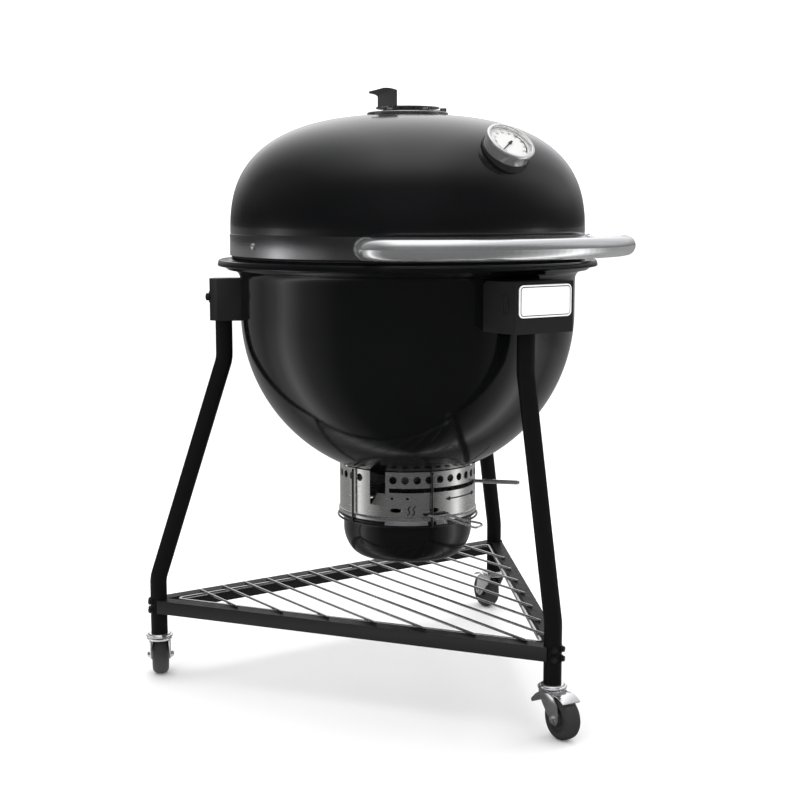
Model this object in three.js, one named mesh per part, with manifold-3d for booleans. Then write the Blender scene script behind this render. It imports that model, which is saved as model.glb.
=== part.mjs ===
// Kettle charcoal grill: a double-walled kettle on a three-legged stand with casters, a wire shelf,
// a hinged lid with a tube handle, thermometer and top damper, and an ash pot under the bowl.
// Millimetres, +Z up, front toward -Y. The kettle's axis is the Z axis of the inner group.
import * as THREE from 'three';
import { mergeVertices } from 'three/addons/utils/BufferGeometryUtils.js';
import Module from 'manifold-3d';

const wasm = await Module();
wasm.setup();

// Overall sizes
const RIM_HEIGHT = 808; // floor to the underside of the bowl's rim
const LID_RADIUS = 340; // outside of the lid wall
const DOME_HEIGHT = 226; // top of the lid's straight wall to the crown
const DOME_POWER = 2.65; // squareness of the dome's shoulder; 2 is an ellipse
const FRONT_REACH = 436.2; // kettle axis to the front foot
const REAR_REACH = 490.8; // kettle axis to each rear foot
const REAR_ANGLE = 120.4; // degrees from the front to each rear foot

// Kettle walls and rim
const SEGMENTS = 32; // facets round the kettle
const SMALL_SEGMENTS = 20; // facets round the fittings
const WALL = 3; // outer shells
const LINER_WALL = 2.5;
const AIR_SPACE = 11; // between shell and liner
const BOWL_INSET = 17.5; // bowl wall inside the lid wall
const ROUND_DEPTH = 86; // rim underside down to where the bowl starts to round
const RIM_OVERHANG = 25; // rim outside the lid wall
const RIM_THICK = 18; // rim underside to the lid's seat
const GASKET_THICK = 4.8;
const BAND_HEIGHT = 40.5; // steel band round the lid's lower edge
const GAP = 0.3; // between pieces that touch

// Stand
const LEG_RADIUS = 16.1;
const LEG_WALL = 2;
const LEG_STANDOFF = 32.5; // bowl wall to the leg's upper axis
const LOWER_BEND = 202; // height of the bend above the shelf
const UPPER_BEND_DROP = 175; // rim underside down to the bend under the bracket
const BEND_RADIUS = 70;
const SHELF_HEIGHT = 160; // top of the shelf frame
const BAR_WIDTH = 25;
const BAR_DEPTH = 26;
const BAR_OFFSET = 5; // bar's middle outside the line between two legs
const BAR_WALL = 2;
const SHELF_WIRE = 5; // diameter
const EDGE_WIRE = 6.5;
const SHELF_PITCH = 51;
const BRACKET_HEIGHT = 80;
const BRACKET_DROP = 21; // rim underside down to the bracket's top
const BRACKET_WIDTH = 50;
const HOUSING_WIDTH = 130; // front bracket
const BADGE_WIDTH = 118;
const BADGE_HEIGHT = 56;

// Casters
const WHEEL_RADIUS = 38;
const WHEEL_TO_LEG = 15.5; // top of the wheel to the leg tube's lower end
const WHEEL_WIDTH = 32;
const WHEEL_FACETS = 24;
const TRAIL = 32; // swivel axis to the axle
const AXLE_RADIUS = 4;
const FORK_WALL = 3;
const RACE_RADIUS = 26;
const STEM_LENGTH = 40;
const RUNNING_GAP = 0.6; // beside a turning piece
const CASTERS = [
  { name: 'front', angle: 0, reach: FRONT_REACH, swivel: -6, brake: true },
  { name: 'left', angle: -REAR_ANGLE, reach: REAR_REACH, swivel: 152, brake: false },
  { name: 'right', angle: REAR_ANGLE, reach: REAR_REACH, swivel: 172, brake: false },
];

// Fire and ash
const COLLAR_RADIUS = 133.5;
const COLLAR_HEIGHT = 97;
const COLLAR_WALL = 2;
const POT_RADIUS = 126;
const POT_DEPTH = 86;
const POT_WALL = 2.5;
const CAGE_WIRE = 2.2; // radius
const LEVER_ANGLE = 42; // degrees from the front, dampers open
const LEVER_SWEEP = 52; // degrees to the closed position
const SLOT_SPREAD = 96; // degrees of the lever's slot
const SLOT_MIDDLE = -2; // degrees from the front
const LEVER_LENGTH = 222;
const LEVER_RADIUS = 3.4;
const SHAFT_RADIUS = 8;
const VENT_INNER = 50; // ash slots in the bowl's bottom
const VENT_OUTER = 105;
const VENT_SPREAD = 36; // degrees
const BLADE_SPREAD = 44; // degrees
const COOKING_DROP = 30; // rim underside down to the cooking grate's rods
const CHARCOAL_DROP = 200;

// Lid fittings
const HANDLE_RADIUS = 18.5;
const HANDLE_WALL = 2;
const HANDLE_REACH = 82; // lid wall to the tube's axis
const HANDLE_SPREAD = 49; // degrees from the front to each end
const HANDLE_BEND = 55;
const GAUGE_RADIUS = 46;
const GAUGE_STAND = 26.5; // height of the face over the dome
const GAUGE_TILT = 42.2; // degrees from upright
const GAUGE_DIAL_DEPTH = 7;
const PROBE_RADIUS = 3;
const PROBE_LENGTH = 110;
const VENT_RADIUS = 77.5;
const CHIMNEY_RADIUS = 44;
const CAP_RADIUS = 47.5;
const DISC_RADIUS = 61;
const VENT_HINGE_ANGLE = 54; // degrees from the front
const HINGE_REACH = 45; // lid wall to the lid hinge's pin
const HINGE_PIN = 4; // radius
const HINGE_HALF = 34; // half the bracket's width

// Worked-out sizes
const legBottom = 2 * WHEEL_RADIUS + WHEEL_TO_LEG;
const seatHeight = RIM_HEIGHT + RIM_THICK;
const lidBottom = seatHeight + GASKET_THICK + 0.7;
const bandTop = lidBottom + BAND_HEIGHT;
const domeBase = bandTop - 2;
const bowlRadius = LID_RADIUS - BOWL_INSET;
const bowlCentre = RIM_HEIGHT - ROUND_DEPTH;
const linerRadius = bowlRadius - WALL - AIR_SPACE; // outside of the bowl's liner
const bowlBottom = bowlCentre - bowlRadius;
const rimRadius = LID_RADIUS + RIM_OVERHANG;
const collarTop = bowlCentre - Math.sqrt(bowlRadius ** 2 - COLLAR_RADIUS ** 2);
const collarBottom = collarTop - COLLAR_HEIGHT;
const potTop = collarBottom - 1.5;
const legTopReach = bowlRadius + LEG_STANDOFF;
const bracketTop = RIM_HEIGHT - BRACKET_DROP;
const bracketBottom = bracketTop - BRACKET_HEIGHT;

// Materials
function finish(color, roughness, metalness) {
  return new THREE.MeshStandardMaterial({ color, roughness, metalness });
}
const enamel = finish(0x0d0e10, 0.15, 0);
const powderCoat = finish(0x1c1b1e, 0.45, 0);
const polished = finish(0xd8d8d8, 0.12, 1);
const brushed = finish(0xb4b4b2, 0.35, 1);
const chrome = finish(0xdedede, 0.08, 1);
const blackPlastic = finish(0x2a282b, 0.5, 0);
const rubber = finish(0x39363a, 0.65, 0);
const dialWhite = finish(0xf2f2f0, 0.4, 0);
const glass = finish(0xf4f8fa, 0.05, 0);
const felt = finish(0x3a3a3a, 0.95, 0);
const castIron = finish(0x4a4a4c, 0.5, 1);

// Solids
function degrees(angle) {
  return THREE.MathUtils.degToRad(angle);
}

function polar(radius, angle, z = 0) {
  return new THREE.Vector3(radius * Math.sin(degrees(angle)), -radius * Math.cos(degrees(angle)), z);
}

function manifoldFrom(points, corners) {
  const mesh = new wasm.Mesh({ numProp: 3, vertProperties: points, triVerts: corners });
  return new wasm.Manifold(mesh);
}

// A closed manifold from a three.js geometry, without the flat triangles at a lathe's poles.
function solid(geometry) {
  const bare = geometry.clone();
  bare.deleteAttribute('normal');
  bare.deleteAttribute('uv');
  const merged = mergeVertices(bare, 1e-4);
  const index = merged.index.array;
  const corners = [];
  for (let i = 0; i < index.length; i += 3) {
    const [a, b, c] = [index[i], index[i + 1], index[i + 2]];
    if (a !== b && b !== c && c !== a) corners.push(a, b, c);
  }
  const points = new Float32Array(merged.attributes.position.array);
  const body = manifoldFrom(points, new Uint32Array(corners));
  if (body.volume() > 0) return body;
  return manifoldFrom(points, new Uint32Array(corners.reverse()));
}

function geometryOf(body) {
  const mesh = body.getMesh();
  const geometry = new THREE.BufferGeometry();
  geometry.setAttribute('position', new THREE.BufferAttribute(new Float32Array(mesh.vertProperties), 3));
  geometry.setIndex(new THREE.BufferAttribute(new Uint32Array(mesh.triVerts), 1));
  return geometry;
}

function joined(bodies) {
  return bodies.reduce((whole, body) => whole.add(body));
}

// A profile of [radius, height] pairs turned round the Z axis, starting at the front.
function turned(profile, segments = SEGMENTS) {
  const points = profile.map(([radius, height]) => new THREE.Vector2(radius, height));
  return solid(new THREE.LatheGeometry(points, segments).rotateX(Math.PI / 2));
}

function ring(inner, outer, bottom, top, segments = SEGMENTS) {
  return turned([[inner, bottom], [outer, bottom], [outer, top], [inner, top], [inner, bottom]], segments);
}

function drum(radius, bottom, top, segments = 16) {
  return turned([[0, bottom], [radius, bottom], [radius, top], [0, top]], segments);
}

// The radius of a bore whose flats clear a round of the given radius
function boreFor(radius, segments) {
  return (radius + GAP) / Math.cos(Math.PI / segments);
}

function block(width, depth, height, x = 0, y = 0, z = 0) {
  return solid(new THREE.BoxGeometry(width, depth, height).translate(x, y, z));
}

// A drum lying along X.
function axleDrum(radius, from, to, y, z, segments = 16) {
  return drum(radius, from, to, segments).rotate([0, 90, 0]).translate([0, y, z]);
}

// An outline in Y and Z, given thickness along X.
function plate(outline, from, to) {
  const shape = outline instanceof THREE.Shape ? outline : new THREE.Shape(outline);
  const geometry = new THREE.ExtrudeGeometry(shape, { depth: to - from, bevelEnabled: false, curveSegments: 6 });
  return solid(geometry.rotateX(Math.PI / 2).rotateZ(Math.PI / 2).translate(from, 0, 0));
}

function outline(pairs) {
  return pairs.map(([across, up]) => new THREE.Vector2(across, up));
}

// A route through its own points: each step of a sweep ends on a point, so a straight run is one step.
class Route extends THREE.Curve {
  constructor(points) {
    super();
    this.points = points;
  }

  getPoint(t, target = new THREE.Vector3()) {
    const place = t * (this.points.length - 1);
    const index = Math.min(Math.floor(place), this.points.length - 2);
    return target.lerpVectors(this.points[index], this.points[index + 1], place - index);
  }

  getPointAt(u, target) {
    return this.getPoint(u, target);
  }

  getTangentAt(u, target = new THREE.Vector3()) {
    const last = this.points.length - 1;
    const index = Math.round(u * last);
    const here = this.points[index];
    target.set(0, 0, 0);
    if (index > 0) target.add(here.clone().sub(this.points[index - 1]).normalize());
    if (index < last) target.add(this.points[index + 1].clone().sub(here).normalize());
    return target.normalize();
  }
}

// The corners of a bent rod with each inner corner rounded to an arc.
function rounded(corners, radius, steps = 3) {
  const route = [corners[0]];
  for (let i = 1; i < corners.length - 1; i += 1) {
    const back = corners[i - 1].clone().sub(corners[i]).normalize();
    const ahead = corners[i + 1].clone().sub(corners[i]).normalize();
    const half = back.angleTo(ahead) / 2;
    const middle = back.clone().add(ahead).normalize();
    const centre = corners[i].clone().addScaledVector(middle, radius / Math.sin(half));
    const start = corners[i].clone().addScaledVector(back, radius / Math.tan(half)).sub(centre);
    const end = corners[i].clone().addScaledVector(ahead, radius / Math.tan(half)).sub(centre);
    const axis = start.clone().cross(end).normalize();
    for (let step = 0; step <= steps; step += 1) {
      route.push(start.clone().applyAxisAngle(axis, (start.angleTo(end) * step) / steps).add(centre));
    }
  }
  route.push(corners[corners.length - 1]);
  return route;
}

function rod(points, radius, sides = 4, bore = 0) {
  const section = new THREE.Shape().absarc(0, 0, radius, 0, 2 * Math.PI);
  if (bore > 0) section.holes.push(new THREE.Path().absarc(0, 0, bore, 0, 2 * Math.PI, true));
  return solid(new THREE.ExtrudeGeometry(section, {
    steps: points.length - 1,
    extrudePath: new Route(points),
    curveSegments: sides / 2,
    bevelEnabled: false,
  }));
}

function wireRing(radius, wire, z) {
  return solid(new THREE.TorusGeometry(radius, wire, 4, SEGMENTS).rotateZ(-Math.PI / 2).translate(0, 0, z));
}

// A wedge of a ring between two angles from the front.
function sector(inner, outer, middle, spread, bottom, top, steps = 4) {
  const outerArc = [];
  const innerArc = [];
  for (let i = 0; i <= steps; i += 1) {
    const angle = middle + spread * (i / steps - 0.5);
    const far = polar(outer, angle);
    const near = polar(inner, angle);
    outerArc.push(new THREE.Vector2(far.x, far.y));
    innerArc.unshift(new THREE.Vector2(near.x, near.y));
  }
  const shape = new THREE.Shape([...outerArc, ...innerArc]);
  const geometry = new THREE.ExtrudeGeometry(shape, { depth: top - bottom, bevelEnabled: false });
  return solid(geometry.translate(0, 0, bottom));
}

const grill = new THREE.Group();
const kettle = new THREE.Group();
grill.add(kettle);

function add(name, body, material, parent = kettle) {
  const mesh = new THREE.Mesh(geometryOf(body), material);
  mesh.name = name;
  parent.add(mesh);
  return mesh;
}

const shaftHole = SHAFT_RADIUS + RUNNING_GAP;

// Kettle curves: the bowl's round bottom and the lid's dome, as [radius, height] points going up.
// Walls that nest share the same steps, so their facets stay parallel.
function bowlCurve(radius, steps = 5) {
  const start = Math.asin(shaftHole / radius);
  const points = [];
  for (let i = 0; i <= steps; i += 1) {
    const angle = start + (Math.PI / 2 - start) * (i / steps);
    points.push([radius * Math.sin(angle), bowlCentre - radius * Math.cos(angle)]);
  }
  return points;
}

function domeCurve(inset, toRadius, steps = 6) {
  const radius = LID_RADIUS - inset;
  const height = DOME_HEIGHT - inset;
  const end = Math.acos((toRadius / radius) ** (DOME_POWER / 2));
  const points = [];
  for (let i = 0; i <= steps; i += 1) {
    const angle = 0.05 + (end - 0.05) * (i / steps);
    const along = Math.cos(angle) ** (2 / DOME_POWER);
    const up = Math.sin(angle) ** (2 / DOME_POWER);
    points.push([radius * along, domeBase + height * up]);
  }
  return points;
}

function domeHeightAt(radius) {
  return domeBase + DOME_HEIGHT * (1 - (radius / LID_RADIUS) ** DOME_POWER) ** (1 / DOME_POWER);
}

// Ash slots, cut through shell and liner
const ventAngles = [60, 180, 300];

function ashSlots(clearance, bottom, top) {
  return joined(ventAngles.map((angle) => sector(
    VENT_INNER - clearance,
    VENT_OUTER + clearance,
    angle,
    VENT_SPREAD + THREE.MathUtils.radToDeg((2 * clearance) / VENT_INNER),
    bottom,
    top,
  )));
}

function bowlShell() {
  const inner = bowlRadius - WALL;
  const outside = [
    ...bowlCurve(bowlRadius),
    [bowlRadius, RIM_HEIGHT - 18],
    [bowlRadius + 18, RIM_HEIGHT - 4],
    [rimRadius - 13, RIM_HEIGHT - 3.5],
    [rimRadius - 3, RIM_HEIGHT],
    [rimRadius, RIM_HEIGHT + 7],
    [rimRadius - 4, RIM_HEIGHT + 12.5],
    [LID_RADIUS + 3, seatHeight],
    [inner + GAP, seatHeight],
  ];
  const inside = bowlCurve(inner).reverse();
  const shell = turned([...outside, ...inside, outside[0]]);
  return shell.subtract(ashSlots(0, bowlBottom - 5, bowlCentre - 200));
}

function bowlLiner() {
  const inner = linerRadius - LINER_WALL;
  const outside = [
    ...bowlCurve(linerRadius),
    [linerRadius, seatHeight - 3.5],
    [bowlRadius - WALL - GAP, seatHeight - 3.5],
    [bowlRadius - WALL - GAP, seatHeight - 0.5],
    [inner, seatHeight - 0.5],
  ];
  const inside = bowlCurve(inner).reverse();
  const shell = turned([...outside, ...inside, outside[0]]);
  const under = bowlCurve(bowlRadius - WALL - GAP).slice(0, 3);
  const between = turned([...under, ...bowlCurve(linerRadius - 1).slice(0, 3).reverse(), under[0]]);
  const throats = ashSlots(2, bowlBottom - 5, bowlCentre - 200).intersect(between);
  return shell.add(throats).subtract(ashSlots(0, bowlBottom - 5, bowlCentre - 200));
}

// What fills the bowl's outside, for cutting pieces that sit against it
function bowlEnvelope() {
  const outside = bowlCurve(bowlRadius + GAP);
  return turned([
    [0, outside[0][1]],
    ...outside,
    [bowlRadius + GAP, RIM_HEIGHT - 18.5],
    [bowlRadius + 18, RIM_HEIGHT - 4.6],
    [rimRadius - 13, RIM_HEIGHT - 4.1],
    [rimRadius - 3, RIM_HEIGHT - 0.6],
    [rimRadius + GAP, RIM_HEIGHT + 6.5],
    [rimRadius + GAP, seatHeight],
    [0, seatHeight],
  ]);
}

function insideLiner() {
  const radius = linerRadius - LINER_WALL - GAP;
  const outside = bowlCurve(radius);
  return turned([[0, outside[0][1]], ...outside, [radius, RIM_HEIGHT], [0, RIM_HEIGHT]]);
}

function grate(radius, wire, pitch, z) {
  const bodies = [wireRing(radius, wire, z)];
  const count = Math.floor((radius - wire) / pitch);
  for (let i = -count; i <= count; i += 1) {
    const half = Math.sqrt(radius ** 2 - (i * pitch) ** 2);
    bodies.push(rod([new THREE.Vector3(i * pitch, -half, z), new THREE.Vector3(i * pitch, half, z)], wire));
  }
  return joined(bodies);
}

const cookingHeight = RIM_HEIGHT - COOKING_DROP;
const charcoalHeight = RIM_HEIGHT - CHARCOAL_DROP;
const cookingWire = 3;
const charcoalWire = 4;

function grateSupport(angle) {
  const wall = bowlRadius + 5;
  const under = cookingHeight - cookingWire - GAP;
  const lower = charcoalHeight - charcoalWire - GAP;
  const charcoalEdge = charcoalRadius() - 12;
  const profile = outline([
    [-charcoalEdge, lower],
    [-charcoalEdge, lower - 9],
    [-wall, lower - 9],
    [-wall, under],
    [-(linerRadius - 22), under],
    [-(linerRadius - 22), under - 6],
    [-(linerRadius - 12), under - 20],
    [-(charcoalRadius() + charcoalWire + 2), lower + 20],
    [-(charcoalRadius() + charcoalWire + 2), lower],
  ]);
  return plate(profile, -3, 3).rotate([0, 0, angle]).intersect(insideLiner());
}

function charcoalRadius() {
  const drop = bowlCentre - charcoalHeight;
  return Math.sqrt((linerRadius - LINER_WALL) ** 2 - drop ** 2) - 18;
}

add('bowl_shell', bowlShell(), enamel);
add('bowl_liner', bowlLiner(), enamel);
add('rim_gasket', ring(bowlRadius - 1, LID_RADIUS - 2, seatHeight + GAP, seatHeight + GASKET_THICK), felt);
add('cooking_grate', grate(linerRadius - LINER_WALL - 6.5, cookingWire, 58, cookingHeight), brushed);
add('charcoal_grate', grate(charcoalRadius(), charcoalWire, 64, charcoalHeight), castIron);
[['front', 0], ['left', -120], ['right', 120]].forEach(([side, angle]) => {
  add(`grate_support_${side}`, grateSupport(angle), brushed);
});

// Damper blades inside the bowl and the lever that turns them, on one shaft
const leverHeight = bowlBottom - 8;

function sweepBlades() {
  const outer = linerRadius - LINER_WALL - RUNNING_GAP;
  const inner = outer - 2;
  const under = bowlCurve(outer);
  const shell = turned([...under, ...bowlCurve(inner).reverse(), under[0]]);
  const reach = VENT_OUTER + 8;
  const blades = ventAngles.map((angle) => sector(4, reach, angle + LEVER_SWEEP, BLADE_SPREAD, bowlBottom, bowlCentre - 150));
  const floorHeight = bowlCentre - outer;
  const hub = drum(14, floorHeight + 1.6, floorHeight + 9);
  const shaft = drum(SHAFT_RADIUS, leverHeight - 10, floorHeight + 14);
  return shell.intersect(joined(blades)).add(hub).add(shaft);
}

function damperLever() {
  const bore = SHAFT_RADIUS + GAP;
  const hub = ring(bore, 20, leverHeight - 5, leverHeight + 5, 24);
  const stalk = rod([polar(14, 0, leverHeight), polar(LEVER_LENGTH, 0, leverHeight)], LEVER_RADIUS, 8);
  const clear = drum(bore, leverHeight - 20, leverHeight + 20, 24);
  return hub.add(stalk).subtract(clear).rotate([0, 0, LEVER_ANGLE]);
}

add('sweep_blades', sweepBlades(), brushed);
add('damper_lever', damperLever(), chrome);

// Collar under the bowl, with its row of holes and the lever's slot
function ashCollar() {
  const body = turned([
    [COLLAR_RADIUS - COLLAR_WALL, collarBottom],
    [COLLAR_RADIUS + 2, collarBottom],
    [COLLAR_RADIUS + 2, collarBottom + 7],
    [COLLAR_RADIUS, collarBottom + 9],
    [COLLAR_RADIUS, collarTop + 4],
    [COLLAR_RADIUS - COLLAR_WALL, collarTop + 4],
    [COLLAR_RADIUS - COLLAR_WALL, collarBottom],
  ]);
  const holeHeight = collarBottom + 80;
  const holes = [];
  for (let i = 0; i < 10; i += 1) {
    const hole = drum(6.7, COLLAR_RADIUS - 8, COLLAR_RADIUS + 6, 6).rotate([90, 0, 0]);
    holes.push(hole.translate([0, 0, holeHeight]).rotate([0, 0, -47 + i * 9.9]));
  }
  const slotHalf = LEVER_RADIUS + 0.8;
  const slot = sector(
    COLLAR_RADIUS - 8,
    COLLAR_RADIUS + 6,
    SLOT_MIDDLE,
    SLOT_SPREAD,
    leverHeight - slotHalf,
    leverHeight + slotHalf,
    8,
  );
  const window = sector(COLLAR_RADIUS - 8, COLLAR_RADIUS + 6, -60, 16, collarBottom + 34, collarBottom + 84, 3);
  return body.subtract(bowlEnvelope()).subtract(joined(holes)).subtract(slot).subtract(window);
}

function ashPot() {
  const floorHeight = potTop - POT_DEPTH;
  const outside = [
    [0, floorHeight],
    [POT_RADIUS - 36, floorHeight],
    [POT_RADIUS - 22, floorHeight + 4],
    [POT_RADIUS - 11, floorHeight + 14],
    [POT_RADIUS - 4, floorHeight + 28],
    [POT_RADIUS, floorHeight + 52],
    [POT_RADIUS, potTop - 4.5],
    [COLLAR_RADIUS + 2, potTop - 4.5],
    [COLLAR_RADIUS + 2, potTop],
    [POT_RADIUS - POT_WALL, potTop],
  ];
  const inside = [
    [POT_RADIUS - POT_WALL, floorHeight + 52],
    [POT_RADIUS - 4 - POT_WALL, floorHeight + 29],
    [POT_RADIUS - 13, floorHeight + 16],
    [POT_RADIUS - 24, floorHeight + 6],
    [POT_RADIUS - 36, floorHeight + POT_WALL],
    [0, floorHeight + POT_WALL],
  ];
  return turned([...outside, ...inside], SMALL_SEGMENTS);
}

const cageRadius = COLLAR_RADIUS + 5;
const cageHeight = potTop - 4.5 - GAP - CAGE_WIRE;
const handleHeight = cageHeight + 23;

function potCage() {
  const bodies = [wireRing(cageRadius - 1.8, CAGE_WIRE, cageHeight)];
  [-16, -85, 95, 164].forEach((angle) => {
    bodies.push(rod([polar(cageRadius, angle, cageHeight), polar(cageRadius, angle, collarTop - 3)], CAGE_WIRE));
  });
  const hinge = [-23, -16, -9, -2].map((angle) => polar(cageRadius, angle, handleHeight));
  bodies.push(rod(hinge, CAGE_WIRE));
  return joined(bodies);
}

function potHandle() {
  const root = cageRadius + 2 * CAGE_WIRE + GAP + 0.8;
  const away = new THREE.Vector3(0.62, -0.77, -0.2);
  const first = polar(root, -20, handleHeight);
  const second = polar(root, -5, handleHeight);
  return rod(rounded([
    first,
    first.clone().addScaledVector(away, 92),
    second.clone().addScaledVector(away, 78),
    second,
  ], 8), CAGE_WIRE);
}

add('ash_collar', ashCollar(), brushed);
add('ash_pot', ashPot(), enamel);
add('pot_cage', potCage(), chrome);
add('pot_handle', potHandle(), chrome);

// Legs: upright at the foot, leaning in to the bowl, upright again in the bracket
function legTube({ angle, reach }) {
  const upperBend = RIM_HEIGHT - UPPER_BEND_DROP;
  const corners = [
    polar(reach, angle, legBottom),
    polar(reach, angle, LOWER_BEND),
    polar(legTopReach, angle, upperBend),
    polar(legTopReach, angle, bracketTop - 6),
  ];
  return rod(rounded(corners, BEND_RADIUS), LEG_RADIUS, 10, LEG_RADIUS - LEG_WALL);
}

function legBracket() {
  const outer = legTopReach + 26;
  const shape = new THREE.Shape(outline([
    [-BRACKET_WIDTH / 2, -bowlRadius + 20],
    [-BRACKET_WIDTH / 2, -outer + 14],
    [-BRACKET_WIDTH / 2 + 14, -outer],
    [BRACKET_WIDTH / 2 - 14, -outer],
    [BRACKET_WIDTH / 2, -outer + 14],
    [BRACKET_WIDTH / 2, -bowlRadius + 20],
  ]));
  const body = solid(new THREE.ExtrudeGeometry(shape, { depth: BRACKET_HEIGHT, bevelEnabled: false }));
  const bore = drum(boreFor(LEG_RADIUS, 12), -1, BRACKET_HEIGHT - 3, 12).translate([0, -legTopReach, 0]);
  const boltHole = drum(4.3, 0, 7, 12).rotate([90, 0, 0]).translate([0, -outer + 6, BRACKET_HEIGHT * 0.56]);
  return body.subtract(bore).subtract(boltHole).translate([0, 0, bracketBottom]);
}

function bracketBolt() {
  const outer = legTopReach + 26 + GAP;
  const body = drum(8, 0, 6, 6).add(drum(4, -5.5, 1, 12));
  return body.rotate([90, 0, 0]).translate([0, -outer, bracketBottom + BRACKET_HEIGHT * 0.56]);
}

const housingFront = legTopReach + 49;
const housingTop = RIM_HEIGHT - 12;

function frontHousing() {
  const depth = housingFront - bowlRadius + 40;
  const height = housingTop - bracketBottom;
  const body = block(HOUSING_WIDTH, depth, height, 0, -housingFront + depth / 2, bracketBottom + height / 2);
  const bore = drum(boreFor(LEG_RADIUS, 12), bracketBottom - 1, bracketTop - 3, 12).translate([0, -legTopReach, 0]);
  return body.subtract(bore);
}

function badgePlate() {
  const middle = housingTop - BADGE_HEIGHT / 2 - 5;
  return block(BADGE_WIDTH, 2, BADGE_HEIGHT, 0, -housingFront - 1 - GAP, middle);
}

CASTERS.forEach((leg) => add(`leg_${leg.name}`, legTube(leg), powderCoat));
add('bracket_front', frontHousing().subtract(bowlEnvelope()), powderCoat);
add('badge_plate', badgePlate(), polished);
CASTERS.slice(1).forEach(({ name, angle }) => {
  add(`bracket_${name}`, legBracket().rotate([0, 0, angle]).subtract(bowlEnvelope()), powderCoat);
  add(`bracket_bolt_${name}`, bracketBolt().rotate([0, 0, angle]), chrome);
});

// Shelf: three square tubes between the legs and a wire rack on them
const feet = Object.fromEntries(CASTERS.map(({ name, angle, reach }) => [name, polar(reach, angle)]));

function frameBar(from, to) {
  const along = to.clone().sub(from);
  const length = along.length() - 12;
  const turn = THREE.MathUtils.radToDeg(Math.atan2(along.y, along.x));
  const outward = new THREE.Vector3(along.y, -along.x, 0).normalize().multiplyScalar(BAR_OFFSET);
  const middle = from.clone().add(to).multiplyScalar(0.5).add(outward);
  const height = SHELF_HEIGHT - BAR_DEPTH / 2;
  let bar = block(length, BAR_WIDTH, BAR_DEPTH);
  bar = bar.subtract(block(length + 2, BAR_WIDTH - 2 * BAR_WALL, BAR_DEPTH - 2 * BAR_WALL));
  bar = bar.rotate([0, 0, turn]).translate([middle.x, middle.y, height]);
  [from, to].forEach((foot) => {
    const leg = drum(LEG_RADIUS + GAP, 0, LOWER_BEND, 24).translate([foot.x, foot.y, 0]);
    bar = bar.subtract(leg);
  });
  return bar;
}

function shelfRack() {
  const wireHeight = SHELF_HEIGHT + GAP + SHELF_WIRE / 2;
  const edgeHeight = wireHeight - SHELF_WIRE / 2 - EDGE_WIRE / 2 + 0.6;
  const inset = BAR_WIDTH / 2 - BAR_OFFSET + 8;
  const corners = ['front', 'right', 'left'].map((name) => feet[name]);
  const insetCorners = corners.map((corner, i) => {
    const next = corners[(i + 1) % 3].clone().sub(corner);
    const previous = corners[(i + 2) % 3].clone().sub(corner);
    const half = next.angleTo(previous) / 2;
    const inward = next.normalize().add(previous.normalize()).normalize();
    return corner.clone().addScaledVector(inward, inset / Math.sin(half)).setZ(edgeHeight);
  });
  const bodies = insetCorners.map((corner, i) => {
    const next = insetCorners[(i + 1) % 3];
    const along = next.clone().sub(corner).normalize();
    const start = corner.clone().addScaledVector(along, -1.5);
    return rod([start, next.clone().addScaledVector(along, 1.5)], EDGE_WIRE / 2);
  });
  const rear = feet.left.y;
  const slope = (feet.right.y - feet.front.y) / feet.right.x;
  const count = Math.floor((feet.right.x - 3 * LEG_RADIUS) / SHELF_PITCH);
  for (let i = -count; i < count; i += 1) {
    const x = (i + 0.5) * SHELF_PITCH;
    const near = feet.front.y + Math.abs(x) * slope;
    const ends = [new THREE.Vector3(x, near, wireHeight), new THREE.Vector3(x, rear, wireHeight)];
    bodies.push(rod(ends, SHELF_WIRE / 2));
  }
  return joined(bodies);
}

add('frame_bar_left', frameBar(feet.left, feet.front), powderCoat);
add('frame_bar_right', frameBar(feet.front, feet.right), powderCoat);
add('frame_bar_rear', frameBar(feet.right, feet.left), powderCoat);
add('shelf_rack', shelfRack(), chrome);

// Casters, each in its own group: the swivel axis is the group's Z axis and the wheel trails toward -Y
const raceBottom = legBottom - GAP - 7;
const forkTop = raceBottom - GAP;
const kingPin = 5;
const plateInner = WHEEL_WIDTH / 2 + RUNNING_GAP + 0.4;

const TRUNNION = 2.5; // radius of the pedal's pivots
const PEDAL_Y = 4; // pivot from the swivel axis
const PEDAL_Z = forkTop - 10;

function casterRace() {
  const stem = LEG_RADIUS - LEG_WALL - GAP - 0.2;
  return turned([
    [kingPin + GAP, raceBottom],
    [RACE_RADIUS, raceBottom],
    [RACE_RADIUS, raceBottom + 4],
    [RACE_RADIUS - 5, raceBottom + 7],
    [stem, raceBottom + 7],
    [stem * Math.cos(Math.PI / 12), raceBottom + 7],
    [stem * Math.cos(Math.PI / 12), legBottom + STEM_LENGTH],
    [0, legBottom + STEM_LENGTH],
    [0, raceBottom + 14],
    [kingPin + GAP, raceBottom + 14],
    [kingPin + GAP, raceBottom],
  ], 16);
}

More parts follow.
